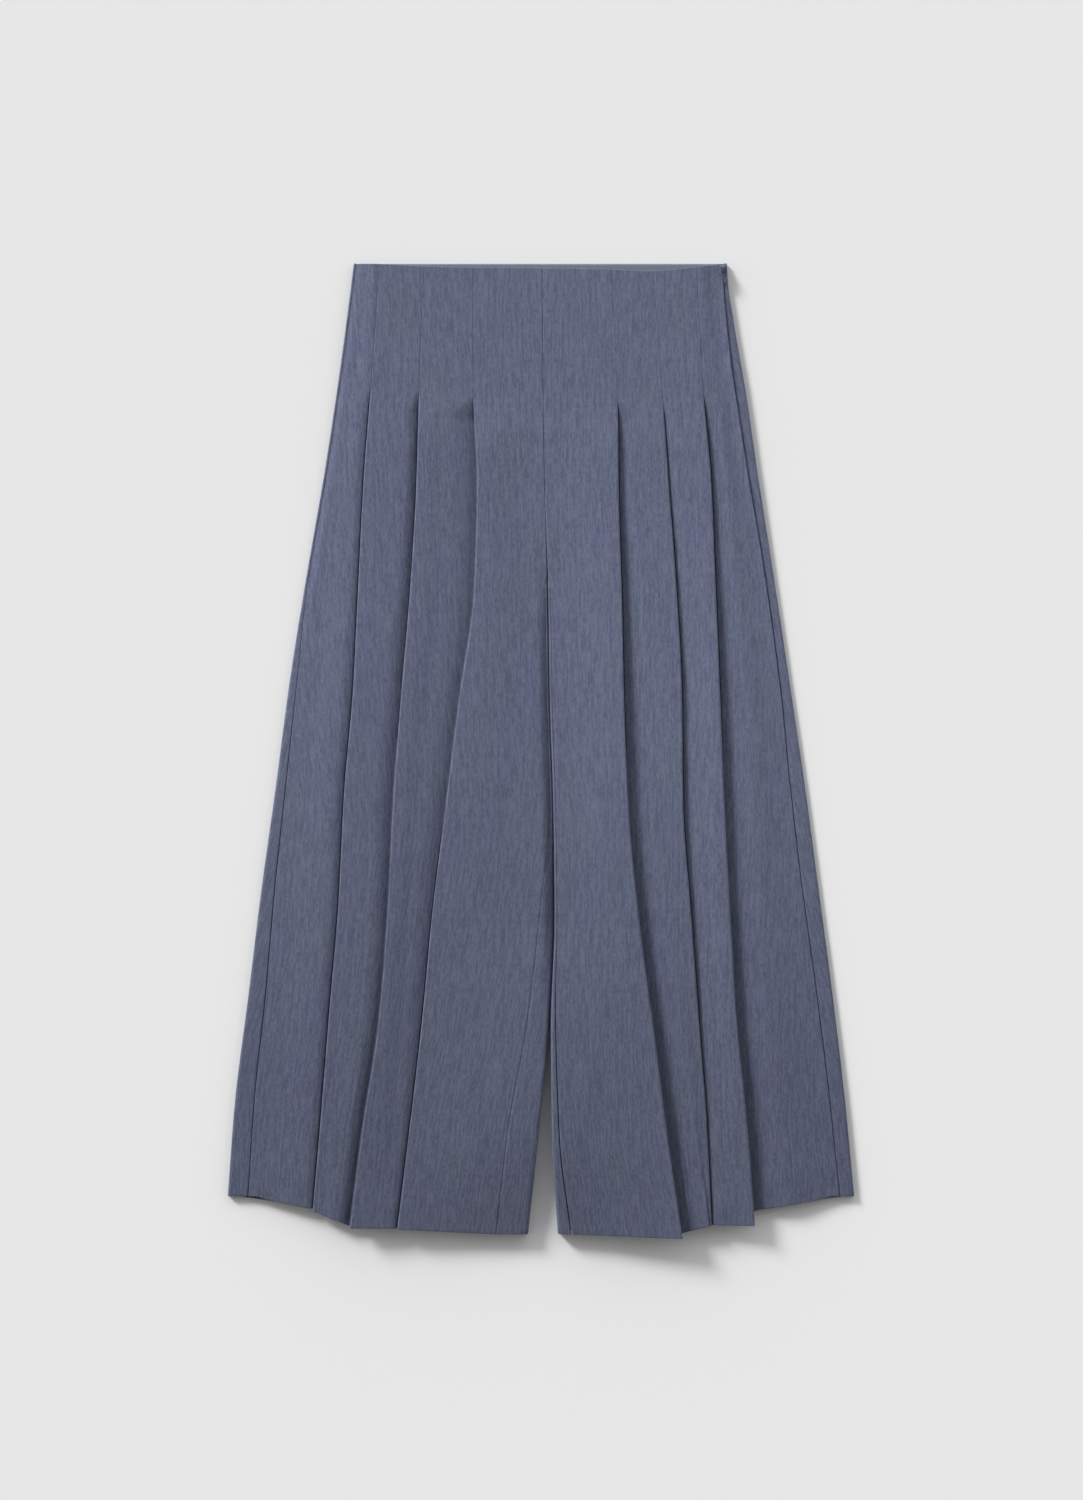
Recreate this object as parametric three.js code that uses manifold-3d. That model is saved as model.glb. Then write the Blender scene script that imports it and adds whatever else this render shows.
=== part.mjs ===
// Pleated culottes laid flat, front up, as a three.js scene graph. Units are millimetres, +Z is up.
// The waist lies towards +Y, and right and left are the wearer's, so the right leg is on the -X side.
// Every cloth piece is a wall swept down the garment: a row of section points at each level,
// moved out by half the cloth's thickness on both sides.
import * as THREE from "three";
import { mergeVertices } from "three/addons/utils/BufferGeometryUtils.js";
import Module from "manifold-3d";

// Driving sizes
const CLOTH = 1.0; // thickness of the suiting
const GAP = 0.5; // clear space between two layers, and across a seam
const PITCH = CLOTH + GAP; // height from one layer to the next
const LENGTH = 890; // waist to hem where the tables end
const CROTCH = 292; // waist to the fork of the legs
const RELEASE = 26; // length over which a pleat opens below its head
const HALFWAY = LENGTH * 0.55; // waist to where the pleats' measures take their middle values
const STITCHED_STEP = 3; // width of the step beside a crest where the pleat is stitched down
const STEP_SLANT = 0.3; // half the width of the steep face under a crest
const FALL = 5; // least width over which the cloth falls from its shoulder to its inner edge
const FLOOR_LAYER = CLOTH / 2; // height of the middle of the layer that lies on the floor
const CORNER = 0.8; // cut taken off each corner where the cloth folds round an edge
const MITRE_LIMIT = 1.6; // most that a corner point moves out, in half thicknesses
const HEM_SHORTER = 4; // how much higher the back's hem lies than the front's

// Outline of the laid garment, a row for each level. down is measured from the waist and the rest is x: the
// outer edge of each leg, the edge beside the other leg, and the crest of each pleat from the side inwards.
const RIGHT_LEG = [
  { down: 0, edge: -172.9, inner: 0.7, pleats: [-149.5, -108, -63.4] },
  { down: 60, edge: -180.3, inner: 1.2, pleats: [-153.4, -111, -63.4] },
  { down: 125, edge: -189, inner: 1.8, pleats: [-157.8, -113, -62.8] },
  { down: 200, edge: -200.1, inner: 2.9, pleats: [-163.6, -115, -59.2] },
  { down: 300, edge: -216.8, inner: 5.6, pleats: [-168.6, -120.8, -62] },
  { down: 400, edge: -232.2, inner: 7.2, pleats: [-173.5, -129.2, -75.4] },
  { down: 500, edge: -244.9, inner: 10.4, pleats: [-181.8, -136.6, -88] },
  { down: 600, edge: -258.4, inner: 11.4, pleats: [-186.8, -141.4, -100.4] },
  { down: 700, edge: -270.2, inner: 7, pleats: [-195, -149.6, -110] },
  { down: 800, edge: -282.4, inner: -2.7, pleats: [-202.9, -164.6, -121.6] },
  { down: 890, edge: -289, inner: -12.3, pleats: [-210.4, -176, -132.6] },
];
const LEFT_LEG = [
  { down: 0, edge: 170.7, inner: 0.7, pleats: [143, 103, 65] },
  { down: 20, edge: 172, inner: 0.8, pleats: [143.9, 104.4, 65.9] },
  { down: 60, edge: 177.8, inner: 1.2, pleats: [146, 107.5, 68] },
  { down: 125, edge: 188.6, inner: 1.8, pleats: [149.5, 111.8, 70.4] },
  { down: 200, edge: 199.1, inner: 2.9, pleats: [156, 116.9, 70.9] },
  { down: 300, edge: 214.2, inner: 6.2, pleats: [160.2, 124.2, 73.8] },
  { down: 400, edge: 228.6, inner: 7.8, pleats: [164.2, 129.3, 75.9] },
  { down: 500, edge: 242.9, inner: 11, pleats: [168.2, 130.4, 80.1] },
  { down: 600, edge: 255.7, inner: 12.2, pleats: [173.4, 137.5, 89.7] },
  { down: 700, edge: 268.4, inner: 8.5, pleats: [179.5, 144.8, 103] },
  { down: 800, edge: 279.7, inner: 9.4, pleats: [189.4, 152.3, 116.1] },
  { down: 890, edge: 288, inner: 15, pleats: [196, 156.5, 129.5] },
];

// How far the back panel is rolled round to the front at the side seam and at the inseam, and how much lower
// than the front's edge it lies at the side.
const RIGHT_ROLL = [
  { down: 0, side: 2.2, drop: 0, inseam: 2.2 },
  { down: 300, side: 2.5, drop: 0.3, inseam: 2.2 },
  { down: 400, side: 7, drop: 0.2, inseam: 2.2 },
  { down: 500, side: 9.3, drop: 0, inseam: 2.2 },
  { down: 600, side: 12.5, drop: 0, inseam: 13.5 },
  { down: 700, side: 16, drop: 0, inseam: 21 },
  { down: 800, side: 18, drop: 0, inseam: 29 },
  { down: 890, side: 19, drop: 0, inseam: 30 },
];
const LEFT_ROLL = [
  { down: 0, side: 2.6, drop: 0.5, inseam: 2.2 },
  { down: 33, side: 5.2, drop: 1.3, inseam: 2.2 },
  { down: 60, side: 7, drop: 1.7, inseam: 2.2 },
  { down: 125, side: 10, drop: 1.8, inseam: 2.2 },
  { down: 200, side: 9.2, drop: 1.7, inseam: 2.2 },
  { down: 300, side: 8, drop: 1.1, inseam: 2.2 },
  { down: 400, side: 9, drop: 0.6, inseam: 2.2 },
  { down: 500, side: 13.5, drop: 0.3, inseam: 2.2 },
  { down: 600, side: 15, drop: 0.2, inseam: 2.2 },
  { down: 700, side: 14.4, drop: 0.2, inseam: 4.5 },
  { down: 800, side: 14, drop: 0.1, inseam: 7 },
  { down: 890, side: 13.4, drop: 0, inseam: 12.5 },
];

// Heights of the middle of the cloth: on the front's side edge, and under the outermost and the innermost
// pleat.
const HEIGHTS = [
  { down: 0, side: 4.2, outer: 3.3, middle: 3.3 },
  { down: 125, side: 4.2, outer: 3.2, middle: 3.3 },
  { down: 200, side: 4.1, outer: 3, middle: 3.2 },
  { down: 300, side: 3.3, outer: 2.8, middle: 3.2 },
  { down: 400, side: 3, outer: 2.8, middle: 3.4 },
  { down: 500, side: 2.9, outer: 2.9, middle: 4 },
  { down: 600, side: 3, outer: 3.1, middle: 5 },
  { down: 700, side: 3.4, outer: 3.6, middle: 6.4 },
  { down: 800, side: 3.9, outer: 4.3, middle: 7.8 },
  { down: 890, side: 4.4, outer: 5, middle: 9.4 },
];

// Its heights on the edge beside the other leg, and on the shoulder where the cloth begins to fall to that
// edge. The right leg's edge dips under the fullness of the left one.
const SHOULDER_REACH = 11; // from the edge to the shoulder
const RIGHT_INSIDE = [
  { down: 0, edge: 6.2, shoulder: 6.2 },
  { down: 125, edge: 6.1, shoulder: 6.1 },
  { down: 200, edge: 6, shoulder: 6 },
  { down: 265, edge: 5.8, shoulder: 6 },
  { down: 300, edge: 4.6, shoulder: 6 },
  { down: 350, edge: 3.2, shoulder: 6.2 },
  { down: 500, edge: 3, shoulder: 6.8 },
  { down: 600, edge: 4.4, shoulder: 8.4 },
  { down: 700, edge: 11.5, shoulder: 12.5 },
  { down: 800, edge: 14.5, shoulder: 14.8 },
  { down: 890, edge: 10, shoulder: 10.6 },
];
const LEFT_INSIDE = [
  { down: 0, edge: 6.2, shoulder: 6.2 },
  { down: 125, edge: 6.1, shoulder: 6.1 },
  { down: 200, edge: 6, shoulder: 6 },
  { down: 265, edge: 6, shoulder: 6 },
  { down: 300, edge: 6.2, shoulder: 6.2 },
  { down: 350, edge: 6.8, shoulder: 6.8 },
  { down: 500, edge: 7.8, shoulder: 7.8 },
  { down: 600, edge: 9.8, shoulder: 9.8 },
  { down: 700, edge: 14, shoulder: 14 },
  { down: 800, edge: 15.4, shoulder: 15.4 },
  { down: 890, edge: 9.6, shoulder: 10.6 },
];

// One row for each pleat, from the side inwards: how far down its head lies, how deep it is tucked at the
// waist and at the hem, and three measures at three levels below its head. lift is how far its crest stands
// off the cloth below, gully how wide the gully beside it is, and open how deep, as a share of its way down.
const RIGHT_TUCKS = [
  { head: 113, waist: 11, hem: 17, lift: [0.4, 1.4, 1], gully: [5, 9, 6], open: [0.3, 0.6, 0.4] },
  { head: 114, waist: 12, hem: 18, lift: [2.2, 3.4, 4.2], gully: [9, 15, 15], open: [0.8, 1, 1] },
  { head: 121, waist: 14, hem: 20, lift: [3, 4.2, 0.8], gully: [26, 21, 6], open: [1, 1, 0.5] },
];
const LEFT_TUCKS = [
  { head: 118, waist: 11, hem: 18, lift: [1.6, 4, 5], gully: [11, 25, 28], open: [0.6, 1, 1] },
  { head: 123, waist: 12, hem: 14, lift: [0.6, 1.9, 0.8], gully: [6, 12, 6], open: [0.4, 0.7, 0.4] },
  { head: 122, waist: 14, hem: 20, lift: [2.4, 4.8, 6], gully: [12, 25, 24], open: [0.7, 1, 1] },
];
const GULLY_BEND = { right: 1.5, left: 0.75 }; // power by which a gully's slope falls to its floor

// Distance down to the hem of each panel of the front, from the side seam inwards, at both of its ends.
const RIGHT_HEMS = [
  { start: 859, end: 870 },
  { start: 871.5, end: 886 },
  { start: 887, end: 887.5 },
  { start: 888, end: 893 },
];
const LEFT_HEMS = [
  { start: 859, end: 872 },
  { start: 885, end: 884.5 },
  { start: 884.5, end: 892 },
  { start: 896, end: 893 },
];

// The front's waist edge lies a little lower than the back's, most to the left of the centre.
const DIP_FADE = 95; // the front lies level with the back again this far below the waist
const WAIST_DIP = [
  { down: -200, dip: 0.4 },
  { down: -171, dip: 0.4 },
  { down: -84, dip: 3.6 },
  { down: 0, dip: 4.4 },
  { down: 54, dip: 5.2 },
  { down: 100, dip: 7 },
  { down: 150, dip: 2.4 },
  { down: 171, dip: 0.4 },
  { down: 200, dip: 0.4 },
];

// Levels at which the walls have a section, closer together at the zip's slider and where a pleat or the fork
// of the legs begins
const LEVELS = [
  0, 11, 22, 36, 60, 104, 114, 122, 130, 138, 148, 164, 190, 230, 268, 276, 283, 290, 297, 308, 345, 400, 450,
  500, 540, 580, 620, 670, 720, 770, 820, 890,
];

// Side zip
const ZIP_LENGTH = 200;
const ZIP_TOP = 3; // its tape starts this far below the waist
const TAPE = { height: 2.95, reach: 11, past: -0.15, thickness: 0.9 };
const ZIP_MOUTH = { opening: 1.5, from: 10, to: 22 }; // the seam stands open round the slider
const SLIDER = { width: 4.4, head: 4.4, tail: 3, low: 1.0, shoulder: 1.6, keel: 0.7, down: 6, turn: 10 };
const BRIDGE = { width: 1.2, reach: 2.6, opening: 1.8, bar: 1.0 };
const PULL = { width: 4.2, length: 14, thickness: 0.9, slotWidth: 2.4, slotLength: 2.9, tilt: 7 };
const WINDOW = { centre: 8.8, width: 2.6, length: 6 }; // the hole in the pull
const FACING = { depth: 40, thickness: 0.9, inset: 5, drop: 0.6, lift: 0.35, taper: 4 };

// Plain curves through a table's rows

const mix = (a, b, t) => a + (b - a) * t;
const ease = (from, to, x) => THREE.MathUtils.smoothstep(x, from, to);

// A smooth value of one column at a level: cubic pieces that never go past the rows on both sides.
function column(rows, read) {
  const at = rows.map((row) => row.down);
  const value = rows.map(read);
  const steepness = (i) => (value[i + 1] - value[i]) / (at[i + 1] - at[i]);
  const slope = at.map((_, i) => {
    const before = steepness(Math.max(i - 1, 0));
    const after = steepness(Math.min(i, at.length - 2));
    return before * after > 0 ? (2 * before * after) / (before + after) : 0;
  });
  return (x) => {
    const last = at.length - 2;
    const i = Math.min(Math.max(at.findIndex((edge) => x < edge) - 1, 0), last);
    const k = x >= at[last + 1] ? last : i;
    const span = at[k + 1] - at[k];
    const t = (x - at[k]) / span;
    const rise = (t * t * (3 - 2 * t)) * (value[k + 1] - value[k]);
    const bend = span * (slope[k] * t * (1 - t) ** 2 - slope[k + 1] * t * t * (1 - t));
    return value[k] + rise + bend;
  };
}

const waistDip = column(WAIST_DIP, (row) => row.dip);
const height = {
  side: column(HEIGHTS, (row) => row.side),
  outer: column(HEIGHTS, (row) => row.outer),
  middle: column(HEIGHTS, (row) => row.middle),
};

// One leg: its tables, and the way from its side seam to the other leg, +1 on the right leg, -1 on the left
function makeLeg(inward, outline, inside, roll, tucks, hems, bend, zipMouth) {
  return {
    inward,
    tucks,
    hems,
    bend,
    edge: column(outline, (row) => row.edge),
    inner: column(outline, (row) => row.inner),
    crests: tucks.map((_, i) => column(outline, (row) => row.pleats[i])),
    innerTop: column(inside, (row) => row.edge),
    shoulderTop: column(inside, (row) => row.shoulder),
    sideRoll: column(roll, (row) => row.side),
    sideDrop: column(roll, (row) => row.drop),
    inseamRoll: column(roll, (row) => row.inseam),
    mouth: (down) => zipMouth * (1 - ease(ZIP_MOUTH.from, ZIP_MOUTH.to, down)),
  };
}
const right = [RIGHT_LEG, RIGHT_INSIDE, RIGHT_ROLL, RIGHT_TUCKS, RIGHT_HEMS, GULLY_BEND.right];
const left = [LEFT_LEG, LEFT_INSIDE, LEFT_ROLL, LEFT_TUCKS, LEFT_HEMS, GULLY_BEND.left];
const rightLeg = makeLeg(1, ...right, 0);
const leftLeg = makeLeg(-1, ...left, ZIP_MOUTH.opening);

// Below the fork the front's inner edge draws back first, and then the back's curls up to meet it.
const frontDrawnBack = (down) => ease(CROTCH - 20, CROTCH - 6, down);
const backCurledUp = (down) => ease(CROTCH - 8, CROTCH + 6, down);

// How far a pleat is let go: nothing above its head, all a little way below it
const released = (tuck, down) => ease(tuck.head, tuck.head + RELEASE, down);

// A measure of a pleat below its head, eased from its value high up through the middle one to the hem's
function pleatMeasure(tuck, [high, middle, hem], down) {
  const upper = mix(high, middle, ease(tuck.head + RELEASE, HALFWAY, down));
  return mix(upper, hem, ease(HALFWAY, LENGTH, down));
}

// How far a pleat's crest stands off the cloth below it
const crestLift = (tuck, down) =>
  ease(tuck.head, tuck.head + 2 * RELEASE, down) * pleatMeasure(tuck, tuck.lift, down);

// Height of the cloth at a distance from the inner edge, as it falls from its shoulder to that edge
const insideHeight = (leg, down, reach) =>
  mix(leg.innerTop(down), leg.shoulderTop(down), ease(0, SHOULDER_REACH, reach));

// Section of one leg's front at a level, as { x, z, hem } points from the side seam to the centre.
// Each pleat tucks inwards under its own crest, as a layer below, a layer returning, and the crest on top.
function frontSection(leg, down) {
  const way = leg.inward;
  const crest = leg.crests.map((at) => at(down));
  const inner = leg.inner(down);
  const seam = leg.edge(down) + way * (leg.sideRoll(down) + GAP / 2 + leg.mouth(down));
  const drawn = mix(GAP / 2, leg.inseamRoll(down) + GAP / 2, frontDrawnBack(down));
  const baseAt = (x) => mix(height.outer(down), height.middle(down), (x - crest[0]) / (crest[2] - crest[0]));
  const flatTop = (x) => baseAt(x) + 2 * PITCH;
  const points = [];
  const add = (x, z, hem) => points.push({ x, z, hem });

  // A panel's last stretch: level as far as the brink, down the slope of the gully and under the next crest
  const gully = (i, start, end, steps) => {
    const x = crest[i];
    const tuck = leg.tucks[i];
    const free = released(tuck, down);
    const low = baseAt(x);
    const high = flatTop(x);
    const floor = mix(high, low, free * pleatMeasure(tuck, tuck.open, down));
    const under = x + way * (CLOTH / 2 - PITCH);
    const brink = under - way * mix(STITCHED_STEP, pleatMeasure(tuck, tuck.gully, down), free);
    const brinkHem = mix(start.hem, end, (brink - start.x) / (under - start.x));
    for (const f of steps) {
      add(mix(start.x, brink, f), mix(start.z, high, ease(0, 1, f)), mix(start.hem, brinkHem, f));
    }
    for (const f of [0.33, 0.66]) {
      add(mix(brink, under, f), mix(high, floor, f ** leg.bend), mix(brinkHem, end, f));
    }
    add(under - way * STEP_SLANT, floor, end);
    add(under + way * STEP_SLANT, low, end);
  };

  const sidePanel = leg.hems[0];
  add(seam, height.side(down), sidePanel.start);
  gully(0, points[0], sidePanel.end, [0.33, 0.66, 1]);

  leg.tucks.forEach((tuck, i) => {
    const x = crest[i];
    const depth = mix(tuck.waist, tuck.hem, down / LENGTH);
    const lift = crestLift(tuck, down);
    const panel = leg.hems[i + 1];
    const hidden = (leg.hems[i].end + panel.start) / 2;
    const low = baseAt(x);
    const valley = x + way * depth;
    const face = x + (way * CLOTH) / 2;
    const top = low + 2 * PITCH + lift;
    add(x + way * depth * 0.5, low, hidden);
    add(valley, baseAt(valley), hidden);
    add(valley, baseAt(valley) + PITCH, hidden);
    add(x + way * depth * 0.5, low + PITCH + lift * 0.45, mix(hidden, panel.start, 0.5));
    add(face, top - PITCH, panel.start);
    add(face, top, panel.start);
    if (i < 2) {
      gully(i + 1, points.at(-1), panel.end, [0.33, 0.66, 1]);
      return;
    }
    const shoulderReach = Math.max(SHOULDER_REACH, drawn + FALL);
    const shoulder = inner - way * shoulderReach;
    const shoulderTop = insideHeight(leg, down, shoulderReach);
    for (const f of [0.17, 0.34, 0.5, 0.66, 0.83, 1]) {
      add(mix(face, shoulder, f), mix(top, shoulderTop, ease(0, 1, f)), mix(panel.start, panel.end, f));
    }
    for (const f of [0.5, 1]) {
      const reach = mix(shoulderReach, drawn, f);
      add(inner - way * reach, insideHeight(leg, down, reach), panel.end);
    }
  });
  return points;
}

// Section of one leg's back at a level: from the side seam round the fold, across the floor, and either
// flat to the centre back seam or round the inner fold to the inseam.
function backSection(leg, down) {
  const way = leg.inward;
  const edge = leg.edge(down);
  const inner = leg.inner(down);
  const curl = backCurledUp(down);
  const sideTop = height.side(down) - leg.sideDrop(down);
  const innerTop = leg.innerTop(down);
  const half = CLOTH / 2;
  const sideHem = leg.hems[0].start;
  const innerHem = leg.hems[3].end;
  const points = [];
  const add = (x, z, hem) => points.push({ x, z, hem });
  const side = (inset, z) => add(edge + way * inset, z, sideHem);
  side(leg.sideRoll(down) - GAP / 2, sideTop);
  side(half + CORNER, sideTop);
  side(half, sideTop - CORNER);
  side(half, FLOOR_LAYER + CORNER);
  side(half + CORNER, FLOOR_LAYER);
  for (const f of [0.12, 0.35, 0.65, 0.88]) {
    add(mix(edge, inner, f), FLOOR_LAYER, mix(sideHem, innerHem, f ** 0.7) - HEM_SHORTER);
  }
  const innerPoint = (flatInset, curledInset, z) =>
    add(inner - way * mix(flatInset, curledInset, curl), mix(FLOOR_LAYER, z, curl), innerHem);
  innerPoint(8, half + CORNER, FLOOR_LAYER);
  innerPoint(6, half, FLOOR_LAYER + CORNER);
  innerPoint(4, half, innerTop - CORNER);
  const bend = half + CORNER;
  const seam = leg.inseamRoll(down) - GAP / 2;
  for (const f of [0, 0.5, 1]) {
    const reach = mix(bend, seam, f);
    innerPoint(mix(2, GAP / 2, f), reach, insideHeight(leg, down, reach));
  }
  return points;
}

// Both faces of a section: each point moved out along the mitre of its two edges.
function offsetSection(points, thickness) {
  const normal = (a, b) => new THREE.Vector2(a.z - b.z, b.x - a.x).normalize();
  return points.map((point, i) => {
    const before = points[Math.max(i - 1, 0)];
    const after = points[Math.min(i + 1, points.length - 1)];
    const first = i > 0 ? normal(before, point) : normal(point, after);
    const second = i < points.length - 1 ? normal(point, after) : first;
    const mitre = first.clone().add(second).normalize();
    const reach = (thickness / 2) * Math.min(1 / Math.max(mitre.dot(first), 0.1), MITRE_LIMIT);
    return {
      above: [point.x + mitre.x * reach, point.z + mitre.y * reach],
      below: [point.x - mitre.x * reach, point.z - mitre.y * reach],
    };
  });
}

// A closed wall: rings of the two faces' points joined level by level, with a cap at the waist and the hem.
function wall(levels, section, distance, thickness) {
  const rings = levels.map((level) => {
    const points = section(level);
    const faces = offsetSection(points, thickness);
    const place = (side) =>
      faces.map((face, i) => [face[side][0], -distance(level, points[i]), face[side][1]]);
    return [...place("above"), ...place("below").reverse()];
  });
  const count = rings[0].length;
  const half = count / 2;
  const index = [];
  const quad = (a, b, c, d) => index.push(a, b, c, a, c, d);
  for (let ring = 0; ring < rings.length - 1; ring += 1) {
    for (let i = 0; i < count; i += 1) {
      const next = (i + 1) % count;
      const row = ring * count;
      quad(row + i, row + next, row + count + next, row + count + i);
    }
  }
  const last = (rings.length - 1) * count;
  for (let i = 0; i < half - 1; i += 1) {
    quad(i, count - 1 - i, count - 2 - i, i + 1);
    quad(last + i, last + i + 1, last + count - 2 - i, last + count - 1 - i);
  }
  const geometry = new THREE.BufferGeometry();
  geometry.setAttribute("position", new THREE.Float32BufferAttribute(rings.flat(2), 3));
  geometry.setIndex(turnedOut(geometry.attributes.position, index));
  geometry.computeVertexNormals();
  return geometry;
}

// The same triangles, all turned round if together they enclose a negative volume
function turnedOut(position, index) {
  const a = new THREE.Vector3();
  const b = new THREE.Vector3();
  const c = new THREE.Vector3();
  let volume = 0;
  for (let i = 0; i < index.length; i += 3) {
    a.fromBufferAttribute(position, index[i]);
    b.fromBufferAttribute(position, index[i + 1]);
    c.fromBufferAttribute(position, index[i + 2]);
    volume += a.dot(b.cross(c));
  }
  return volume < 0 ? index.reverse() : index;
}

// Where a point of the front or back lies along the garment: its level shared out between waist and hem
const backDistance = (level, point) => (level / LENGTH) * point.hem;
const frontDistance = (level, point) =>
  backDistance(level, point) + waistDip(point.x) * (1 - ease(0, DIP_FADE, level));

const wasm = await Module();
wasm.setup();

// A closed geometry as a manifold-3d solid, with shared points merged
function solid(geometry) {
  const bare = geometry.clone();
  bare.deleteAttribute("normal");
  bare.deleteAttribute("uv");
  const merged = mergeVertices(bare, 1e-4);
  return new wasm.Manifold(
    new wasm.Mesh({
      numProp: 3,
      vertProperties: merged.attributes.position.array,
      triVerts: new Uint32Array(merged.index.array),
    }),
  );
}

function geometryOf(manifold) {
  const mesh = manifold.getMesh();
  const geometry = new THREE.BufferGeometry();
  geometry.setAttribute("position", new THREE.BufferAttribute(mesh.vertProperties, 3));
  geometry.setIndex(new THREE.BufferAttribute(mesh.triVerts, 1));
  geometry.computeVertexNormals();
  return geometry;
}

// A flat outline in the plane of the garment's length and height, given a width across
function acrossExtrusion(outline, width) {
  const shape = new THREE.Shape(outline.map(([along, up]) => new THREE.Vector2(along, up)));
  const geometry = new THREE.ExtrudeGeometry(shape, { depth: width, bevelEnabled: false });
  geometry.translate(0, 0, -width / 2);
  return geometry.rotateX(Math.PI / 2).rotateZ(Math.PI / 2);
}

// Zip slider: a wedge that lies over the seam, a bridge for the pull and a keel in the seam.
// Its own frame has the pull's bar at the origin, +Y towards the waist.
function sliderGeometry() {
  const floor = -(BRIDGE.bar / 2 + 0.4);
  const low = floor - SLIDER.shoulder;
  const body = acrossExtrusion(
    [
      [-SLIDER.tail, low],
      [SLIDER.head, low],
      [SLIDER.head, floor - 0.5],
      [SLIDER.head - 1.6, floor],
      [-SLIDER.tail + 1.4, floor],
      [-SLIDER.tail, floor - 0.8],
    ],
    SLIDER.width,
  );
  const top = floor + BRIDGE.opening;
  const bridge = acrossExtrusion(
    [
      [-BRIDGE.reach, floor - 0.9],
      [-BRIDGE.reach + 1, floor - 0.9],
      [-BRIDGE.reach + 1, top - 0.4],
      [-BRIDGE.reach + 1.4, top],
      [BRIDGE.reach - 1.4, top],
      [BRIDGE.reach - 1, top - 0.4],
      [BRIDGE.reach - 1, floor - 0.9],
      [BRIDGE.reach, floor - 0.9],
      [BRIDGE.reach, top + 0.3],
      [BRIDGE.reach - 0.8, top + 1],
      [-BRIDGE.reach + 0.8, top + 1],
      [-BRIDGE.reach, top + 0.3],
    ],
    BRIDGE.width,
  );
  const keelTop = low + 0.2;
  const keel = acrossExtrusion(
    [
      [-1.5, low - SLIDER.low],
      [SLIDER.head - 1.5, low - SLIDER.low],
      [SLIDER.head - 1, keelTop],
      [-2, keelTop],
    ],
    SLIDER.keel,
  );
  return geometryOf(solid(body).add(solid(bridge)).add(solid(keel)));
}

// Zip pull: a drop-shaped plate with a slot round the bridge and a window, its bar at the origin
function pullGeometry() {
  const half = PULL.width / 2;
  const bar = BRIDGE.bar / 2;
  const neck = PULL.slotWidth / 2 + 0.9;
  const shoulder = -PULL.slotLength - 1.2;
  const tip = -PULL.length + half + bar;
  const arc = (centre, rx, ry, from, turn, steps) =>
    Array.from({ length: steps }, (_, i) => {
      const angle = from + (turn * i) / (steps - 1);
      return new THREE.Vector2(rx * Math.cos(angle), centre + ry * Math.sin(angle));
    });
  const shape = new THREE.Shape([
    new THREE.Vector2(-neck, bar),
    new THREE.Vector2(-neck, shoulder),
    ...arc(tip, half, half, Math.PI, Math.PI, 9),
    new THREE.Vector2(neck, shoulder),
    new THREE.Vector2(neck, bar),
  ]);
  const slot = new THREE.Path([
    new THREE.Vector2(-PULL.slotWidth / 2, -bar),
    new THREE.Vector2(PULL.slotWidth / 2, -bar),
    new THREE.Vector2(PULL.slotWidth / 2, -bar - PULL.slotLength),
    new THREE.Vector2(-PULL.slotWidth / 2, -bar - PULL.slotLength),
  ]);
  const window = new THREE.Path(
    arc(-WINDOW.centre, WINDOW.width / 2, WINDOW.length / 2, 0, -2 * Math.PI * (11 / 12), 12),
  );
  shape.holes.push(slot, window);
  const depth = PULL.thickness;
  const geometry = new THREE.ExtrudeGeometry(shape, { depth, bevelEnabled: false });
  return geometry.translate(0, 0, -depth / 2);
}

// Facing inside the back's waist: a flat strip just above the back panel
function facingGeometry() {
  const at = (leg, down) => leg.edge(down) + leg.inward * FACING.inset;
  const low = FACING.drop + FACING.depth;
  const shape = new THREE.Shape([
    new THREE.Vector2(at(rightLeg, FACING.drop), -FACING.drop),
    new THREE.Vector2(at(rightLeg, low) + FACING.taper, -low),
    new THREE.Vector2(at(leftLeg, low) - FACING.taper, -low),
    new THREE.Vector2(at(leftLeg, FACING.drop), -FACING.drop),
  ]);
  const geometry = new THREE.ExtrudeGeometry(shape, { depth: FACING.thickness, bevelEnabled: false });
  return geometry.translate(0, 0, CLOTH + FACING.lift);
}

// Closed zip tape under the left side seam
function tapeSection(down) {
  const seam = leftLeg.edge(down) - leftLeg.sideRoll(down);
  return [seam - TAPE.reach, seam - TAPE.reach / 2, seam + TAPE.past].map((x) => ({ x, z: TAPE.height }));
}

const suiting = new THREE.MeshStandardMaterial({ color: 0x62687e, roughness: 0.9, metalness: 0 });
const innerCloth = new THREE.MeshStandardMaterial({ color: 0x646d78, roughness: 0.9, metalness: 0 });
const tapeCloth = new THREE.MeshStandardMaterial({ color: 0x555b70, roughness: 0.9, metalness: 0 });
const enamel = new THREE.MeshStandardMaterial({ color: 0x4a5064, roughness: 0.45, metalness: 0.3 });

const culottes = new THREE.Group();
function addPiece(name, geometry, material, parent = culottes) {
  const mesh = new THREE.Mesh(geometry, material);
  mesh.name = name;
  parent.add(mesh);
  return mesh;
}

for (const [name, leg] of [
  ["right", rightLeg],
  ["left", leftLeg],
]) {
  const front = wall(LEVELS, (level) => frontSection(leg, level), frontDistance, CLOTH);
  const back = wall(LEVELS, (level) => backSection(leg, level), backDistance, CLOTH);
  addPiece(`${name}_front`, front, suiting);
  addPiece(`${name}_back`, back, suiting);
}
addPiece("back_waist_facing", facingGeometry(), innerCloth);
const tapeLevels = [ZIP_TOP, ...LEVELS.filter((level) => level > ZIP_TOP && level < ZIP_LENGTH), ZIP_LENGTH];
addPiece("zip_tape", wall(tapeLevels, tapeSection, (level) => level, TAPE.thickness), tapeCloth);

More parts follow.
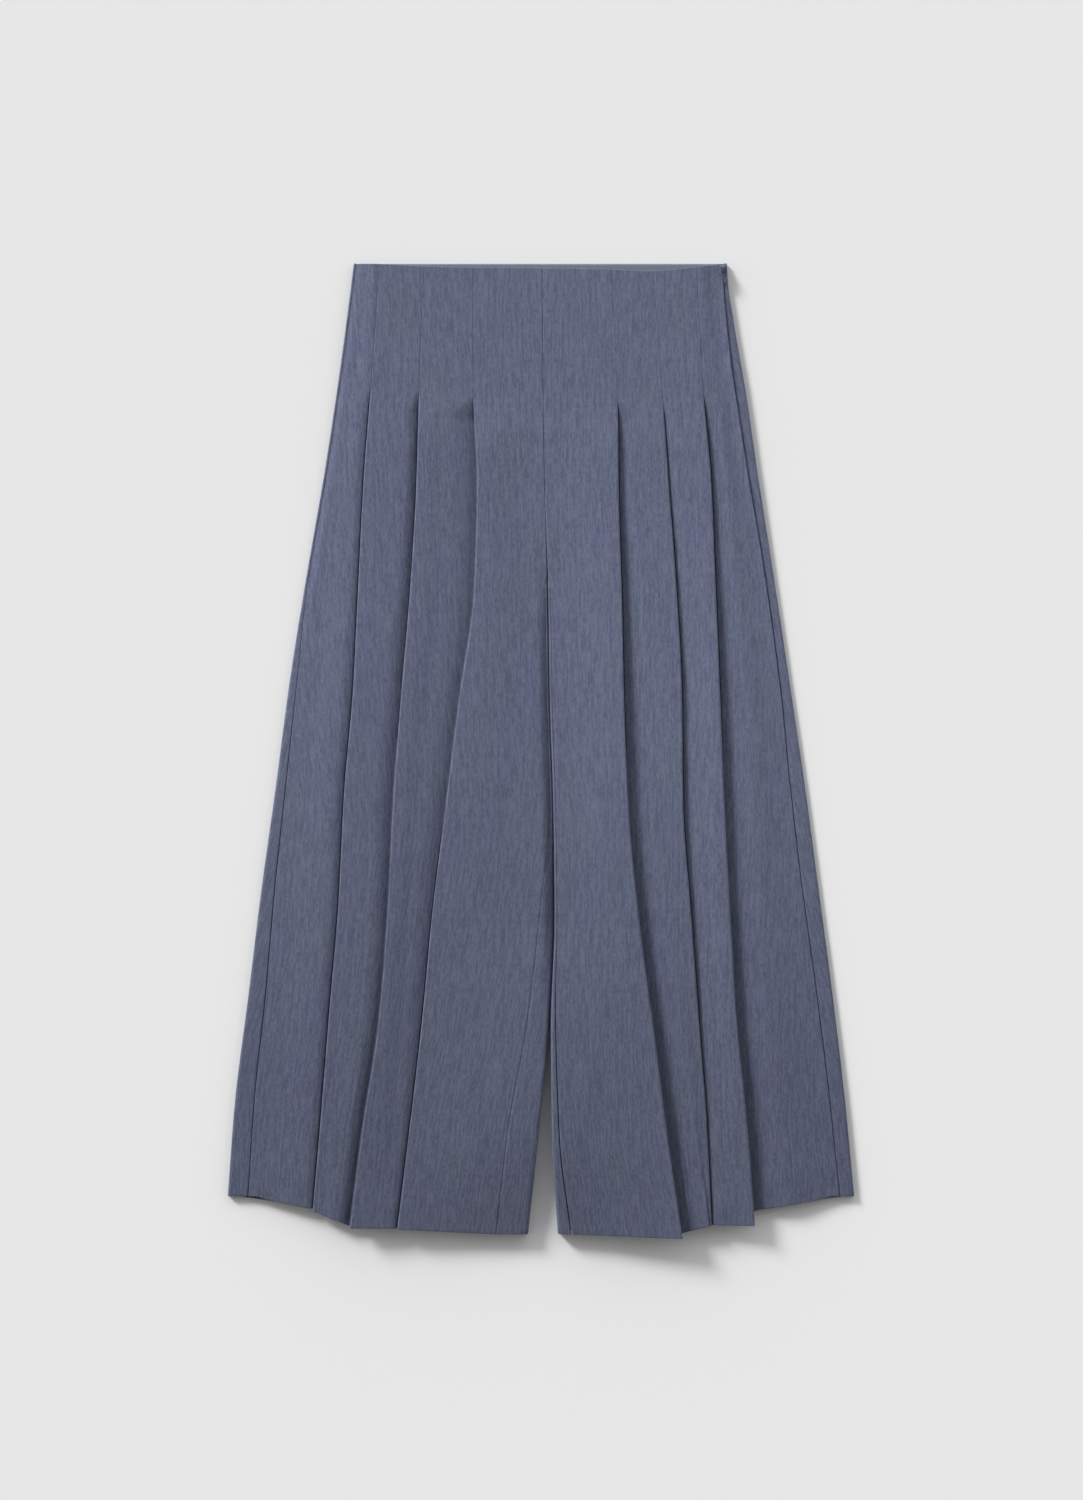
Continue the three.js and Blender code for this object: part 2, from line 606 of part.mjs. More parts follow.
// The slider lies over the top of the side seam, turned to follow it, and the pull hangs on its bridge.
const sliderFrame = new THREE.Group();
const sliderSeam = leftLeg.edge(SLIDER.down) - leftLeg.sideRoll(SLIDER.down) - leftLeg.mouth(SLIDER.down) / 2;
const clothTop = height.side(SLIDER.down) + CLOTH / 2;
const barHeight = clothTop + 0.3 + SLIDER.shoulder + 0.4 + BRIDGE.bar / 2;
sliderFrame.position.set(sliderSeam, -SLIDER.down, barHeight);
sliderFrame.rotation.z = THREE.MathUtils.degToRad(SLIDER.turn);
culottes.add(sliderFrame);
addPiece("zip_slider", sliderGeometry(), enamel, sliderFrame);
const pull = addPiece("zip_pull", pullGeometry(), enamel, sliderFrame);
pull.rotation.x = THREE.MathUtils.degToRad(PULL.tilt);

// The origin is the middle of the laid garment's footprint, on the floor.
culottes.updateMatrixWorld(true);
const footprint = new THREE.Box3().setFromObject(culottes, true);
const middle = footprint.getCenter(new THREE.Vector3());
culottes.position.set(-middle.x, -middle.y, -footprint.min.z);

export default culottes;
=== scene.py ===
"""Pleated culottes laid flat, front up: cloth, seams, zip and a plain studio stage.

Lengths are millimetres until a mesh is made, and then metres. Along the garment they are measured
down from the back's waist edge, and across it from the middle of the waist, the wearer's left to +X.
"""

from types import SimpleNamespace

import bmesh
import bpy
import numpy as np
from bpy.props import FloatProperty, FloatVectorProperty, PointerProperty
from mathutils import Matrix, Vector


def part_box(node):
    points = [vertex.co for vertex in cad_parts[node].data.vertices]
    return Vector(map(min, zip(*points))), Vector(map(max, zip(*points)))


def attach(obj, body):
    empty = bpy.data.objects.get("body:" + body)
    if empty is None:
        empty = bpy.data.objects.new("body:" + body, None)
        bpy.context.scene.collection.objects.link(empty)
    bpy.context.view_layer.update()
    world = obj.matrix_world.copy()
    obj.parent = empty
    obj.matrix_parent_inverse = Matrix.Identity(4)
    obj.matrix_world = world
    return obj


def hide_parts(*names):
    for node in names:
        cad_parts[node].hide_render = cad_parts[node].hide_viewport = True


bl_info = {
    "name": "Pleated Culottes",
    "version": (1, 0, 0),
    "blender": (4, 5, 0),
    "location": "View3D > Sidebar > Culottes",
    "description": "Builds a pair of pleated culottes laid flat, with its side zip, on a studio stage",
    "category": "Add Mesh",
}

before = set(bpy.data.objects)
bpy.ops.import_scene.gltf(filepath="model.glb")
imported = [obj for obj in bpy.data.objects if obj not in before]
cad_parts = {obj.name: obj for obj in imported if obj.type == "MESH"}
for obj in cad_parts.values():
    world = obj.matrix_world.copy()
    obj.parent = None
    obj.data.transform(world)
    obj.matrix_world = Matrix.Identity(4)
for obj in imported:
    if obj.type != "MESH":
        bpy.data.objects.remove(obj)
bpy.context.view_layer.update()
MM = 0.001  # one millimetre in metres

# Driving sizes, the same as the solids'
CLOTH = 1.0
GAP = 0.5
PITCH = CLOTH + GAP
LENGTH = 890
CROTCH = 292
RELEASE = 26
HEM_SHORTER = 4
DIP_FADE = 95
ZIP_LENGTH = 200
ZIP_TOP = 3
ZIP_MOUTH = 1.5
ZIP_MOUTH_FROM = 10
ZIP_MOUTH_TO = 22
TAPE_HEIGHT = 2.95
TAPE_REACH = 11
TAPE_PAST = -0.15
SEWN_TIGHT = 0.35  # how far two sewn layers press into each other
FACING_INSET = 5
FACING_DEPTH = 40
FACING_DROP = 0.6
FACING_LIFT = 0.35
FACING_TAPER = 4
HEM_ALLOWANCE = 34
HALFWAY = 0.55  # share of the length where the pleats' middle measures hold
SEAM_CLEARANCE = 0.02  # between a panel's edge and its seam
TURN_STEP = 0.6  # between the three points of an edge that is turned down
STITCHED_STEP = 3  # width of a panel's slope beside a pleat that is stitched down
PLEAT_TURN = 1.5  # from a pleat's hidden fold to the nearest points on both its layers
STITCHED_CREST = 0.35  # roundness of a crest that is stitched down, and of one let go
FREE_CREST = 1.5
CREST_REACH = 2.5  # from the rounded part of a crest to the panel beside it
BACK_FOLD = 3  # roundness of the back's folds at the side seam and the inseam
BACK_ROWS = 16
HEADS_FROM = 108  # stretch round the pleats' heads whose levels lie closer
HEADS_TO = 176
FORK_ABOVE = 26  # and the stretch above and below the fork
FORK_BELOW = 20
FORK_EASE = 6  # above and below the fork, where the front leaves its middle
CURL_FROM = 16  # above the fork, where the back begins to curl up, and where it has done so
CURL_TO = 4

# The photograph's frame
PHOTO_HEIGHT = 1500
MM_PER_PIXEL = 0.92
WAIST_PIXEL_Y = 263

# Outline of each leg: its outer edge, the edge beside the other leg and the crests from the side inwards
RIGHT_OUTLINE = {
    "down": (0, 60, 125, 200, 300, 400, 500, 600, 700, 800, 890),
    "edge": (-172.9, -180.3, -189, -200.1, -216.8, -232.2, -244.9, -258.4, -270.2, -282.4, -289),
    "inner": (0.7, 1.2, 1.8, 2.9, 5.6, 7.2, 10.4, 11.4, 7, -2.7, -12.3),
    "crest_1": (-149.5, -153.4, -157.8, -163.6, -168.6, -173.5, -181.8, -186.8, -195, -202.9, -210.4),
    "crest_2": (-108, -111, -113, -115, -120.8, -129.2, -136.6, -141.4, -149.6, -164.6, -176),
    "crest_3": (-63.4, -63.4, -62.8, -59.2, -62, -75.4, -88, -100.4, -110, -121.6, -132.6),
}
LEFT_OUTLINE = {
    "down": (0, 20, 60, 125, 200, 300, 400, 500, 600, 700, 800, 890),
    "edge": (170.7, 172, 177.8, 188.6, 199.1, 214.2, 228.6, 242.9, 255.7, 268.4, 279.7, 288),
    "inner": (0.7, 0.8, 1.2, 1.8, 2.9, 6.2, 7.8, 11, 12.2, 8.5, 9.4, 15),
    "crest_1": (143, 143.9, 146, 149.5, 156, 160.2, 164.2, 168.2, 173.4, 179.5, 189.4, 196),
    "crest_2": (103, 104.4, 107.5, 111.8, 116.9, 124.2, 129.3, 130.4, 137.5, 144.8, 152.3, 156.5),
    "crest_3": (65, 65.9, 68, 70.4, 70.9, 73.8, 75.9, 80.1, 89.7, 103, 116.1, 129.5),
}

# How far the back is rolled round to the front at the side seam and at the inseam, and how much lower than
# the front's edge it lies at the side
RIGHT_ROLL = {
    "down": (0, 100, 200, 300, 400, 500, 600, 700, 800, 890),
    "drop": (0.6, 0.7, 0.9, 0.8, 0.2, 0, 0, 0, 0, 0),
    "rim": (-1, -1.2, -1.6, -1, -0.2, 0, 0, 0, 0, 0),
    "side": (2.2, 2.2, 2.3, 2.5, 7, 9.3, 12.5, 16, 18, 19),
    "inseam": (2.2, 2.2, 2.2, 2.2, 2.2, 2.2, 13.5, 21, 29, 30),
    "inseam_groove": (0, 0, 0, 0, 0, 0, 0, 0, 0, 0),
    "side_groove": (0, 0, 0, 0, 0.2, 0.5, 0.6, 0.6, 0.5, 0.4),
}
LEFT_ROLL = {
    "down": (0, 33, 60, 125, 200, 300, 400, 500, 600, 700, 800, 890),
    "drop": (0.5, 0.7, 0.8, 0.8, 0.8, 0.7, 0.5, 0.3, 0.2, 0.2, 0.1, 0),
    "rim": (0.2, 1, 1.2, 1.3, 1.2, 0.8, 0.4, 0, 0, 0, 0, 0),
    "side": (2.6, 5.2, 7, 10, 9.2, 8, 9, 13.5, 15, 14.4, 14, 13.4),
    "inseam": (2.2, 2.2, 2.2, 2.2, 2.2, 2.2, 2.2, 2.2, 2.2, 4.5, 7, 12.5),
    "inseam_groove": (0, 0, 0, 0, 0, 0, 0, 0, 0.1, 0.7, 0.8, 0.6),
    "side_groove": (0, 0, 0, 0, 0, 0.2, 0.6, 0.6, 0.6, 0.6, 0.5, 0.4),
}

# Heights of the middle of the cloth on the side edge and under the first and third crest
HEIGHTS = {
    "down": (0, 125, 200, 300, 400, 500, 600, 700, 800, 890),
    "side": (4.2, 4.2, 4.1, 3.3, 3, 2.9, 3, 3.4, 3.9, 4.4),
    "outer": (3.3, 3.2, 3, 2.8, 2.8, 2.9, 3.1, 3.6, 4.3, 5),
    "middle": (3.3, 3.3, 3.2, 3.2, 3.4, 4, 5, 6.4, 7.8, 9.4),
}

# Its heights at the inner edge and where the cloth begins to fall towards that edge
RIGHT_INSIDE = {
    "down": (0, 125, 200, 265, 300, 350, 500, 600, 700, 800, 890),
    "edge": (6.2, 6.1, 6, 5.8, 4.6, 3.2, 3, 4.4, 11.5, 14.5, 10),
    "shoulder": (6.2, 6.1, 6, 6, 6, 6.2, 6.8, 8.4, 12.5, 14.8, 10.6),
}
LEFT_INSIDE = {
    "down": (0, 125, 200, 265, 300, 350, 500, 600, 700, 800, 890),
    "edge": (6.2, 6.1, 6, 6, 6.2, 6.8, 7.8, 9.8, 14, 15.4, 9.6),
    "shoulder": (6.2, 6.1, 6, 6, 6.2, 6.8, 7.8, 9.8, 14, 15.4, 10.6),
}
SHOULDER_REACH = 11
BACK_RIM = 0.4  # share of the front's rim that the back rises by beside it

# A column for each measure of the three pleats, from the side inwards
RIGHT_TUCKS = {
    "head": (113, 114, 121),
    "waist": (11, 12, 14),
    "hem": (17, 18, 20),
    "lift_high": (0.4, 2.2, 3.0),
    "lift_middle": (1.4, 3.4, 4.2),
    "lift_hem": (1.0, 4.2, 0.8),
    "gully_high": (5, 9, 26),
    "gully_middle": (9, 15, 21),
    "gully_hem": (6, 10, 6),
    "open_high": (0.3, 0.8, 1),
    "open_middle": (0.6, 1, 1),
    "open_hem": (0.4, 1, 0.5),
}
LEFT_TUCKS = {
    "head": (118, 123, 122),
    "waist": (11, 12, 14),
    "hem": (18, 14, 20),
    "lift_high": (1.6, 0.6, 2.4),
    "lift_middle": (4.0, 1.9, 4.8),
    "lift_hem": (5.0, 0.8, 6.0),
    "gully_high": (11, 6, 12),
    "gully_middle": (25, 12, 25),
    "gully_hem": (28, 6, 24),
    "open_high": (0.6, 0.4, 0.7),
    "open_middle": (1, 0.7, 1),
    "open_hem": (1, 0.4, 1),
}

# Distance down to the hem at both ends of the four panels, from the side seam inwards
RIGHT_HEMS = {"start": (859, 871.5, 887, 888), "end": (870, 886, 887.5, 893)}
LEFT_HEMS = {"start": (859, 885, 884.5, 896), "end": (872, 884.5, 892, 893)}

# How far the front's waist edge lies below the back's
WAIST_DIP = {
    "down": (-200, -171, -84, 0, 54, 100, 150, 171, 200),
    "dip": (0.4, 0.4, 3.6, 4.4, 5.2, 7, 2.4, 0.4, 0.4),
}


def mix(a, b, t):
    """A value t of the way from a to b."""
    return a + (b - a) * t


def ease(start, end, x):
    """0 before start and 1 after end, with the smooth step 3t^2 - 2t^3 between them."""
    t = np.clip((x - start) / (end - start), 0, 1)
    return t * t * (3 - 2 * t)


def column(table, name, at):
    """One column's value at each place: cubic pieces that never go past the rows on both sides.

    A row's slope is the harmonic mean of the steps before and after it, or 0 where they change sign.
    """
    row = np.array(table["down"], float)
    value = np.array(table[name], float)
    step = np.diff(value) / np.diff(row)
    before = np.concatenate([step[:1], step])
    after = np.concatenate([step, step[-1:]])
    together = before * after > 0
    slope = np.where(together, 2 * before * after / np.where(together, before + after, 1), 0)
    k = np.clip(np.searchsorted(row, at, side="right") - 1, 0, len(row) - 2)
    span = row[k + 1] - row[k]
    t = (at - row[k]) / span
    rise = t * t * (3 - 2 * t) * (value[k + 1] - value[k])
    bend = span * (slope[k] * t * (1 - t) ** 2 - slope[k + 1] * t * t * (1 - t))
    return value[k] + rise + bend


# Where the levels and the middle of the waist lie in the frame's own metres
WAIST_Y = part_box("left_back")[1].y
MIDDLE_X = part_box("left_back")[1].x - LEFT_OUTLINE["edge"][-1] * MM


def make_leg(side, inward, outline, inside, roll, tucks, hems, gully_bend, zip_mouth):
    """One leg's tables. inward is the way from its side seam to the other leg, +1 on the right leg."""
    return SimpleNamespace(
        side=side,
        inward=inward,
        outline=outline,
        inside=inside,
        roll=roll,
        tucks=tucks,
        hems=hems,
        gully_bend=gully_bend,
        zip_mouth=zip_mouth,
    )


LEGS = (
    make_leg("right", 1, RIGHT_OUTLINE, RIGHT_INSIDE, RIGHT_ROLL, RIGHT_TUCKS, RIGHT_HEMS, 1.5, 0),
    make_leg("left", -1, LEFT_OUTLINE, LEFT_INSIDE, LEFT_ROLL, LEFT_TUCKS, LEFT_HEMS, 0.75, ZIP_MOUTH),
)


def mouth(leg, levels):
    """How far the side seam stands open round the zip's slider."""
    return leg.zip_mouth * (1 - ease(ZIP_MOUTH_FROM, ZIP_MOUTH_TO, levels))


def pleat_measure(leg, name, pleat, levels):
    """A measure of a pleat below its head: its high, middle and hem values, eased together."""
    high, middle, low = (leg.tucks[f"{name}_{place}"][pleat] for place in ("high", "middle", "hem"))
    half_way = LENGTH * HALFWAY
    upper = mix(high, middle, ease(leg.tucks["head"][pleat] + RELEASE, half_way, levels))
    return mix(upper, low, ease(half_way, LENGTH, levels))


def crest_lift(leg, pleat, levels):
    """How far a pleat's crest stands off the cloth below it: nothing above its head."""
    head = leg.tucks["head"][pleat]
    return ease(head, head + 2 * RELEASE, levels) * pleat_measure(leg, "lift", pleat, levels)


def inside_height(leg, levels, reach):
    """Height of the cloth that far from the inner edge, as it falls from its shoulder to the edge."""
    edge = column(leg.inside, "edge", levels)
    return mix(edge, column(leg.inside, "shoulder", levels), ease(0, SHOULDER_REACH, reach))


def front_drawn_back(levels):
    """Share of the way that the front has left the middle of the fork for its own leg's seam."""
    return ease(CROTCH - FORK_EASE, CROTCH + FORK_EASE, levels)


class Section:
    """Control points of a wall's middle at every level, from the side seam inwards."""

    def __init__(self, levels):
        self.levels = levels
        self.points = []

    def add(self, x, z, hem):
        """A point at x and height z on cloth whose hem is that far down: numbers, or one for each level."""
        flat = np.zeros_like(self.levels)
        self.points.append(np.stack([flat + x, flat + z, flat + hem], axis=-1))

    def smooth(self, per_step):
        """The points joined by a quadratic B-spline along each level, with its ends held.

        Between the middles of two steps the weights are (1-t)^2/2, 1/2 + t(1-t) and t^2/2.
        """
        rows = np.stack(self.points, axis=1)
        held = np.concatenate([rows[:, :1], rows, rows[:, -1:]], axis=1)
        count = rows.shape[1]
        s = np.linspace(0.5, count + 0.5, count * per_step + 1)
        i = np.clip(np.floor(s + 0.5).astype(int), 1, count)
        t = (s - i + 0.5)[None, :, None]
        first = 0.5 * (1 - t) ** 2 * held[:, i - 1]
        second = (0.5 + t * (1 - t)) * held[:, i]
        return first + second + 0.5 * t**2 * held[:, i + 1]


def front_section(leg, levels, cloth):
    """Section of one front: a panel, then three pleats that each tuck inwards under their own crest."""
    way = leg.inward
    half = cloth / 2
    seam_clear = half + SEAM_CLEARANCE
    crest = [column(leg.outline, f"crest_{n}", levels) for n in (1, 2, 3)]
    inner = column(leg.outline, "inner", levels)
    height = {name: column(HEIGHTS, name, levels) for name in ("side", "outer", "middle")}
    rolled = column(leg.roll, "side", levels) + column(leg.roll, "side_groove", levels) / 2
    rolled = rolled + mouth(leg, levels)
    seam = column(leg.outline, "edge", levels) + way * (rolled + seam_clear)
    drawn = seam_clear + column(leg.roll, "inseam", levels) * front_drawn_back(levels)
    drawn = drawn + column(leg.roll, "inseam_groove", levels) / 2
    inner_end = inner - way * drawn
    stitched = 2 * half - SEWN_TIGHT
    section = Section(levels)

    def base(x):
        return mix(height["outer"], height["middle"], (x - crest[0]) / (crest[2] - crest[0]))

    def flat_top(x):
        return base(x) + 2 * PITCH

    def panel_hem(panel, start_x, end_x):
        start, end = leg.hems["start"][panel], leg.hems["end"][panel]
        return lambda x: mix(start, end, np.clip((x - start_x) / (end_x - start_x), 0, 1))

    def gully(pleat, start_x, start_z, hem_at):
        """The panel's last stretch: level up to the gully, down its slope and under the crest."""
        x = crest[pleat]
        released = ease(leg.tucks["head"][pleat], leg.tucks["head"][pleat] + RELEASE, levels)
        low = base(x)
        high = flat_top(x)
        opened = released * pleat_measure(leg, "open", pleat, levels)
        floor = mix(high, low, opened)
        under = x - way * mix(stitched - CLOTH / 2, PITCH - CLOTH / 2, released)
        gully_width = pleat_measure(leg, "gully", pleat, levels)
        brink = under - way * mix(STITCHED_STEP, gully_width, released)
        for f in (0.2, 0.4, 0.6, 0.8, 1):
            at = mix(start_x, brink, f)
            section.add(at, mix(start_z, high, ease(0, 1, f)), hem_at(at))
        for f in (0.2, 0.4, 0.6, 0.8):
            at = mix(brink, under, f)
            section.add(at, mix(high, floor, f**leg.gully_bend), hem_at(at))
        for at, z in ((under - way * 0.3, floor), (under, floor), (under, low)):
            section.add(at, z, hem_at(at))

    side_top = height["side"]
    side_hem = panel_hem(0, seam, crest[0])
    rim = column(leg.roll, "rim", levels)
    for inset, z, share in (
        (0, -2 * TURN_STEP, BACK_RIM),
        (0, -TURN_STEP, 0.7),
        (0, 0, 1),
        (0.5, 0, 1),
        (1.6, 0, 0.8),
        (3.4, 0.2, 0.4),
        (5.6, 0.3, 0.1),
        (8, 0.4, 0),
    ):
        section.add(seam + way * inset, side_top + z + rim * share, side_hem(seam))
    gully(0, seam + way * 8, side_top + 0.4, side_hem)

    for i in range(3):
        x = crest[i]
        depth = mix(leg.tucks["waist"][i], leg.tucks["hem"][i], levels / LENGTH)
        lift = crest_lift(leg, i, levels)
        released = ease(leg.tucks["head"][i], leg.tucks["head"][i] + RELEASE, levels)
        hem_at = panel_hem(i + 1, x, crest[i + 1] if i < 2 else inner_end)
        hidden = (leg.hems["end"][i] + leg.hems["start"][i + 1]) / 2
        low = base(x)
        valley = x + way * depth
        valley_low = base(valley)
        face = x + way * CLOTH / 2
        soft = mix(STITCHED_CREST, FREE_CREST, released)
        # The layer below, the fold at the bottom of the pleat and the layer that returns
        section.add(x + way * depth * 0.35, low, hidden)
        section.add(x + way * depth * 0.7, mix(low, valley_low, 0.7), hidden)
        section.add(valley - way * PLEAT_TURN, valley_low, hidden)
        section.add(valley, valley_low, hidden)
        section.add(valley, valley_low + PITCH, hidden)
        section.add(valley - way * PLEAT_TURN, valley_low + PITCH, hidden)
        section.add(x + way * depth * 0.5, low + PITCH + lift * 0.45, mix(hidden, hem_at(x), 0.5))
        # The crest and the top of the panel
        for inset, z in (
            (soft, PITCH + lift * 0.96),
            (0, PITCH + lift),
            (0, 2 * PITCH + lift),
            (soft, 2 * PITCH + lift * 0.97),
            (soft + CREST_REACH, 2 * PITCH + lift * 0.92),
        ):
            section.add(face + way * inset, low + z, hem_at(face + way * inset))
        start = face + way * (soft + CREST_REACH)
        start_top = low + 2 * PITCH + lift * 0.92
        if i < 2:
            gully(i + 1, start, start_top, hem_at)
            continue
        shoulder_reach = np.maximum(SHOULDER_REACH, drawn + 5)
        shoulder = inner - way * shoulder_reach
        shoulder_top = inside_height(leg, levels, shoulder_reach)
        for f in (0.12, 0.24, 0.36, 0.48, 0.6, 0.72, 0.84, 0.96):
            at = mix(start, shoulder, f)
            section.add(at, mix(start_top, shoulder_top, ease(0, 1, f)), hem_at(at))
        for f in (0.2, 0.4, 0.6, 0.8):
            reach = mix(shoulder_reach, drawn, f)
            section.add(inner - way * reach, inside_height(leg, levels, reach), hem_at(inner - way * reach))
        edge_top = inside_height(leg, levels, drawn)
        for inset, z in ((0.5, 0), (0, 0), (0, -TURN_STEP), (0, -2 * TURN_STEP)):
            section.add(inner_end - way * inset, edge_top + z, hem_at(inner_end))
    return section


def back_section(leg, levels, cloth):
    """Section of one back: round the side fold, flat on the floor, and flat or round the inner fold."""
    way = leg.inward
    half = cloth / 2
    seam_clear = half + SEAM_CLEARANCE
    edge = column(leg.outline, "edge", levels)
    inner = column(leg.outline, "inner", levels)
    curl = ease(CROTCH - CURL_FROM, CROTCH - CURL_TO, levels)
    tucked = (PITCH - SEWN_TIGHT) * (1 - front_drawn_back(levels))
    side_top = column(HEIGHTS, "side", levels) - column(leg.roll, "drop", levels)
    side_top = side_top + BACK_RIM * column(leg.roll, "rim", levels)
    inner_top = column(leg.inside, "edge", levels) - tucked
    side_hem = leg.hems["start"][0]
    inner_hem = leg.hems["end"][3]
    section = Section(levels)

    side_end = column(leg.roll, "side", levels) - column(leg.roll, "side_groove", levels) / 2
    side_end = side_end - seam_clear
    side_bend = np.minimum(half + BACK_FOLD, mix(half, side_end, 0.5))
    for inset, z in (
        (side_end, side_top - 2 * TURN_STEP),
        (side_end, side_top - TURN_STEP),
        (side_end, side_top),
        (mix(side_bend, side_end, 0.9), side_top),
        (mix(side_bend, side_end, 0.5), side_top),
        (side_bend, side_top),
        (half, side_top),
        (half, half),
        (half + BACK_FOLD, half),
        (half + 2 * BACK_FOLD, half),
    ):
        section.add(edge + way * inset, z, side_hem)
    for f in np.linspace(0.08, 0.92, BACK_ROWS):
        section.add(mix(edge, inner, f), half, mix(side_hem, inner_hem, f**0.7) - HEM_SHORTER)

    inner_end = column(leg.roll, "inseam", levels) - column(leg.roll, "inseam_groove", levels) / 2
    inner_end = inner_end - seam_clear
    inner_bend = np.minimum(half + BACK_FOLD, mix(half, inner_end, 0.5))

    def curled(reach):
        return reach, inside_height(leg, levels, reach) - tucked

    seam_top = inside_height(leg, levels, inner_end) - tucked
    for flat_inset, (curled_inset, z) in (
        (12, (half + 2 * BACK_FOLD, half)),
        (10, (half + BACK_FOLD, half)),
        (8, (half, half)),
        (6, (half, inner_top)),
        (4, curled(inner_bend)),
        (3, curled(mix(inner_bend, inner_end, 0.3))),
        (2, curled(mix(inner_bend, inner_end, 0.6))),
        (1.4, curled(mix(inner_bend, inner_end, 0.9))),
        (1, (inner_end, seam_top)),
        (0.7, (inner_end, seam_top - TURN_STEP)),
        (seam_clear, (inner_end, seam_top - 2 * TURN_STEP)),
    ):
        inset = mix(flat_inset, curled_inset, curl)
        section.add(inner - way * inset, mix(half, z, curl), inner_hem)
    return section


def levels_for(step):
    """Levels from waist to hem a step apart, closer at both edges, at the pleats' heads and at the fork."""
    edge = np.array([0, 0.2, 0.5, 0.9, 1.6])
    heads = np.arange(HEADS_FROM, HEADS_TO, step * 0.5)
    fork = np.arange(CROTCH - FORK_ABOVE, CROTCH + FORK_BELOW, step * 0.6)
    body = np.arange(step, LENGTH - step, step)
    return np.unique(np.round(np.concatenate([edge, body, heads, fork, LENGTH - edge]), 2))


def swept_area(width, at):
    """Area of a strip from its widths at several places along it."""
    return float(np.sum((width[1:] + width[:-1]) / 2 * np.diff(at)))


def arc_length(across, z):
    """Distance along each level from its last point, in millimetres."""
    steps = np.hypot(np.diff(across, axis=1), np.diff(z, axis=1))
    from_end = np.cumsum(steps[:, ::-1], axis=1)[:, ::-1]
    return np.concatenate([from_end, np.zeros((len(z), 1))], axis=1)


def rounded_edge(distance, radius):
    """Share of the thickness left near a folded edge: a quarter circle over the last radius."""
    t = np.clip(distance / radius, 0, 1)
    return np.maximum(np.sqrt(1 - (1 - t) ** 2), 0.3)


def place(x, down, z):
    """Points in the frame's metres from millimetres across, down and up."""
    return np.stack([MIDDLE_X + x * MM, WAIST_Y - down * MM, z * MM], axis=-1)


def grid_normals(points):
    """Unit normals of a grid of points: the cross product of its two directions."""
    along = np.gradient(points, axis=1)
    down = np.gradient(points, axis=0)
    normal = np.cross(down, along)
    return normal / np.maximum(np.linalg.norm(normal, axis=-1, keepdims=True), 1e-12)


def grid_faces(rows, columns, first, turned):
    """Quads of a grid whose points are numbered row by row from first."""
    a = first + (np.arange(rows - 1)[:, None] * columns + np.arange(columns - 1)).ravel()
    quads = np.stack([a, a + 1, a + columns + 1, a + columns], axis=1)
    return quads[:, ::-1] if turned else quads


def rim_faces(rows, columns, turned):
    """Quads that join the upper grid to the lower one all round."""
    number = np.arange(rows * columns).reshape(rows, columns)
    loop = np.concatenate([number[0, :-1], number[:-1, -1], number[-1, :0:-1], number[:0:-1, 0]])
    following = np.roll(loop, -1)
    lower = rows * columns
    quads = np.stack([following, loop, loop + lower, following + lower], axis=1)
    return quads[:, ::-1] if turned else quads


def mesh_object(name, points, quads, uv=None):
    """An object from arrays of points, quads and, for each point, a place in the cloth in metres."""
    mesh = bpy.data.meshes.new(name)
    mesh.vertices.add(len(points))
    mesh.vertices.foreach_set("co", points.astype(np.float32).ravel())
    mesh.loops.add(quads.size)
    mesh.loops.foreach_set("vertex_index", quads.astype(np.int32).ravel())
    mesh.polygons.add(len(quads))
    mesh.polygons.foreach_set("loop_start", np.arange(0, quads.size, 4, dtype=np.int32))
    mesh.update(calc_edges=True)
    if uv is not None:
        layer = mesh.uv_layers.new(name="cloth")
        layer.data.foreach_set("uv", uv[quads.ravel()].astype(np.float32).ravel())
    mesh.polygons.foreach_set("use_smooth", np.ones(len(quads), bool))
    mesh.validate()
    made = bpy.data.objects.new(name, mesh)
    bpy.context.scene.collection.objects.link(made)
    return made


def shell(name, middle, half, uv, up):
    """A closed shell: the middle grid moved along its normals to both sides by half, with a rim between."""
    normal = grid_normals(middle) * up
    rows, columns = middle.shape[:2]
    offset = normal * half[..., None]
    points = np.concatenate([(middle + offset).reshape(-1, 3), (middle - offset).reshape(-1, 3)])
    flip = up < 0
    upper = grid_faces(rows, columns, 0, not flip)
    lower = grid_faces(rows, columns, rows * columns, flip)
    rim = rim_faces(rows, columns, not flip)
    both = np.concatenate([uv.reshape(-1, 2)] * 2)
    return mesh_object(name, points, np.concatenate([upper, lower, rim]), both)


def cloth_piece(name, leg, section, distance, cloth, relief):
    """A shell on a section's smooth points, and its flat size: width, length and area in metres."""
    levels = section.levels
    rows = section.smooth(2)
    x, z, hem = rows[..., 0], rows[..., 1], rows[..., 2]
    down = distance(levels[:, None], x, hem)
    raised = z + relief(x, down, hem)
    width = arc_length(x, z)
    uv = np.stack([width * MM, -down * MM], axis=-1)
    near_edge = np.minimum(levels, LENGTH - levels)[:, None]
    half = cloth / 2 * MM * rounded_edge(near_edge, cloth * 0.9) * np.ones_like(x)
    made = shell(name, place(x, down, raised), half, uv, leg.inward)
    across = width[:, 0]
    area = swept_area(across, levels) * hem.mean() / LENGTH
    return made, (across.max() * MM, hem.max() * MM, area * MM * MM)


def back_distance(level, x, hem):
    """Distance down of a point of the back: its level shared out between waist and hem."""
    return level / LENGTH * hem


def front_distance(level, x, hem):
    """As the back's, with the waist edge's dip fading out below it."""
    dip = column(WAIST_DIP, "dip", x)
    return back_distance(level, x, hem) + dip * (1 - ease(0, DIP_FADE, level))


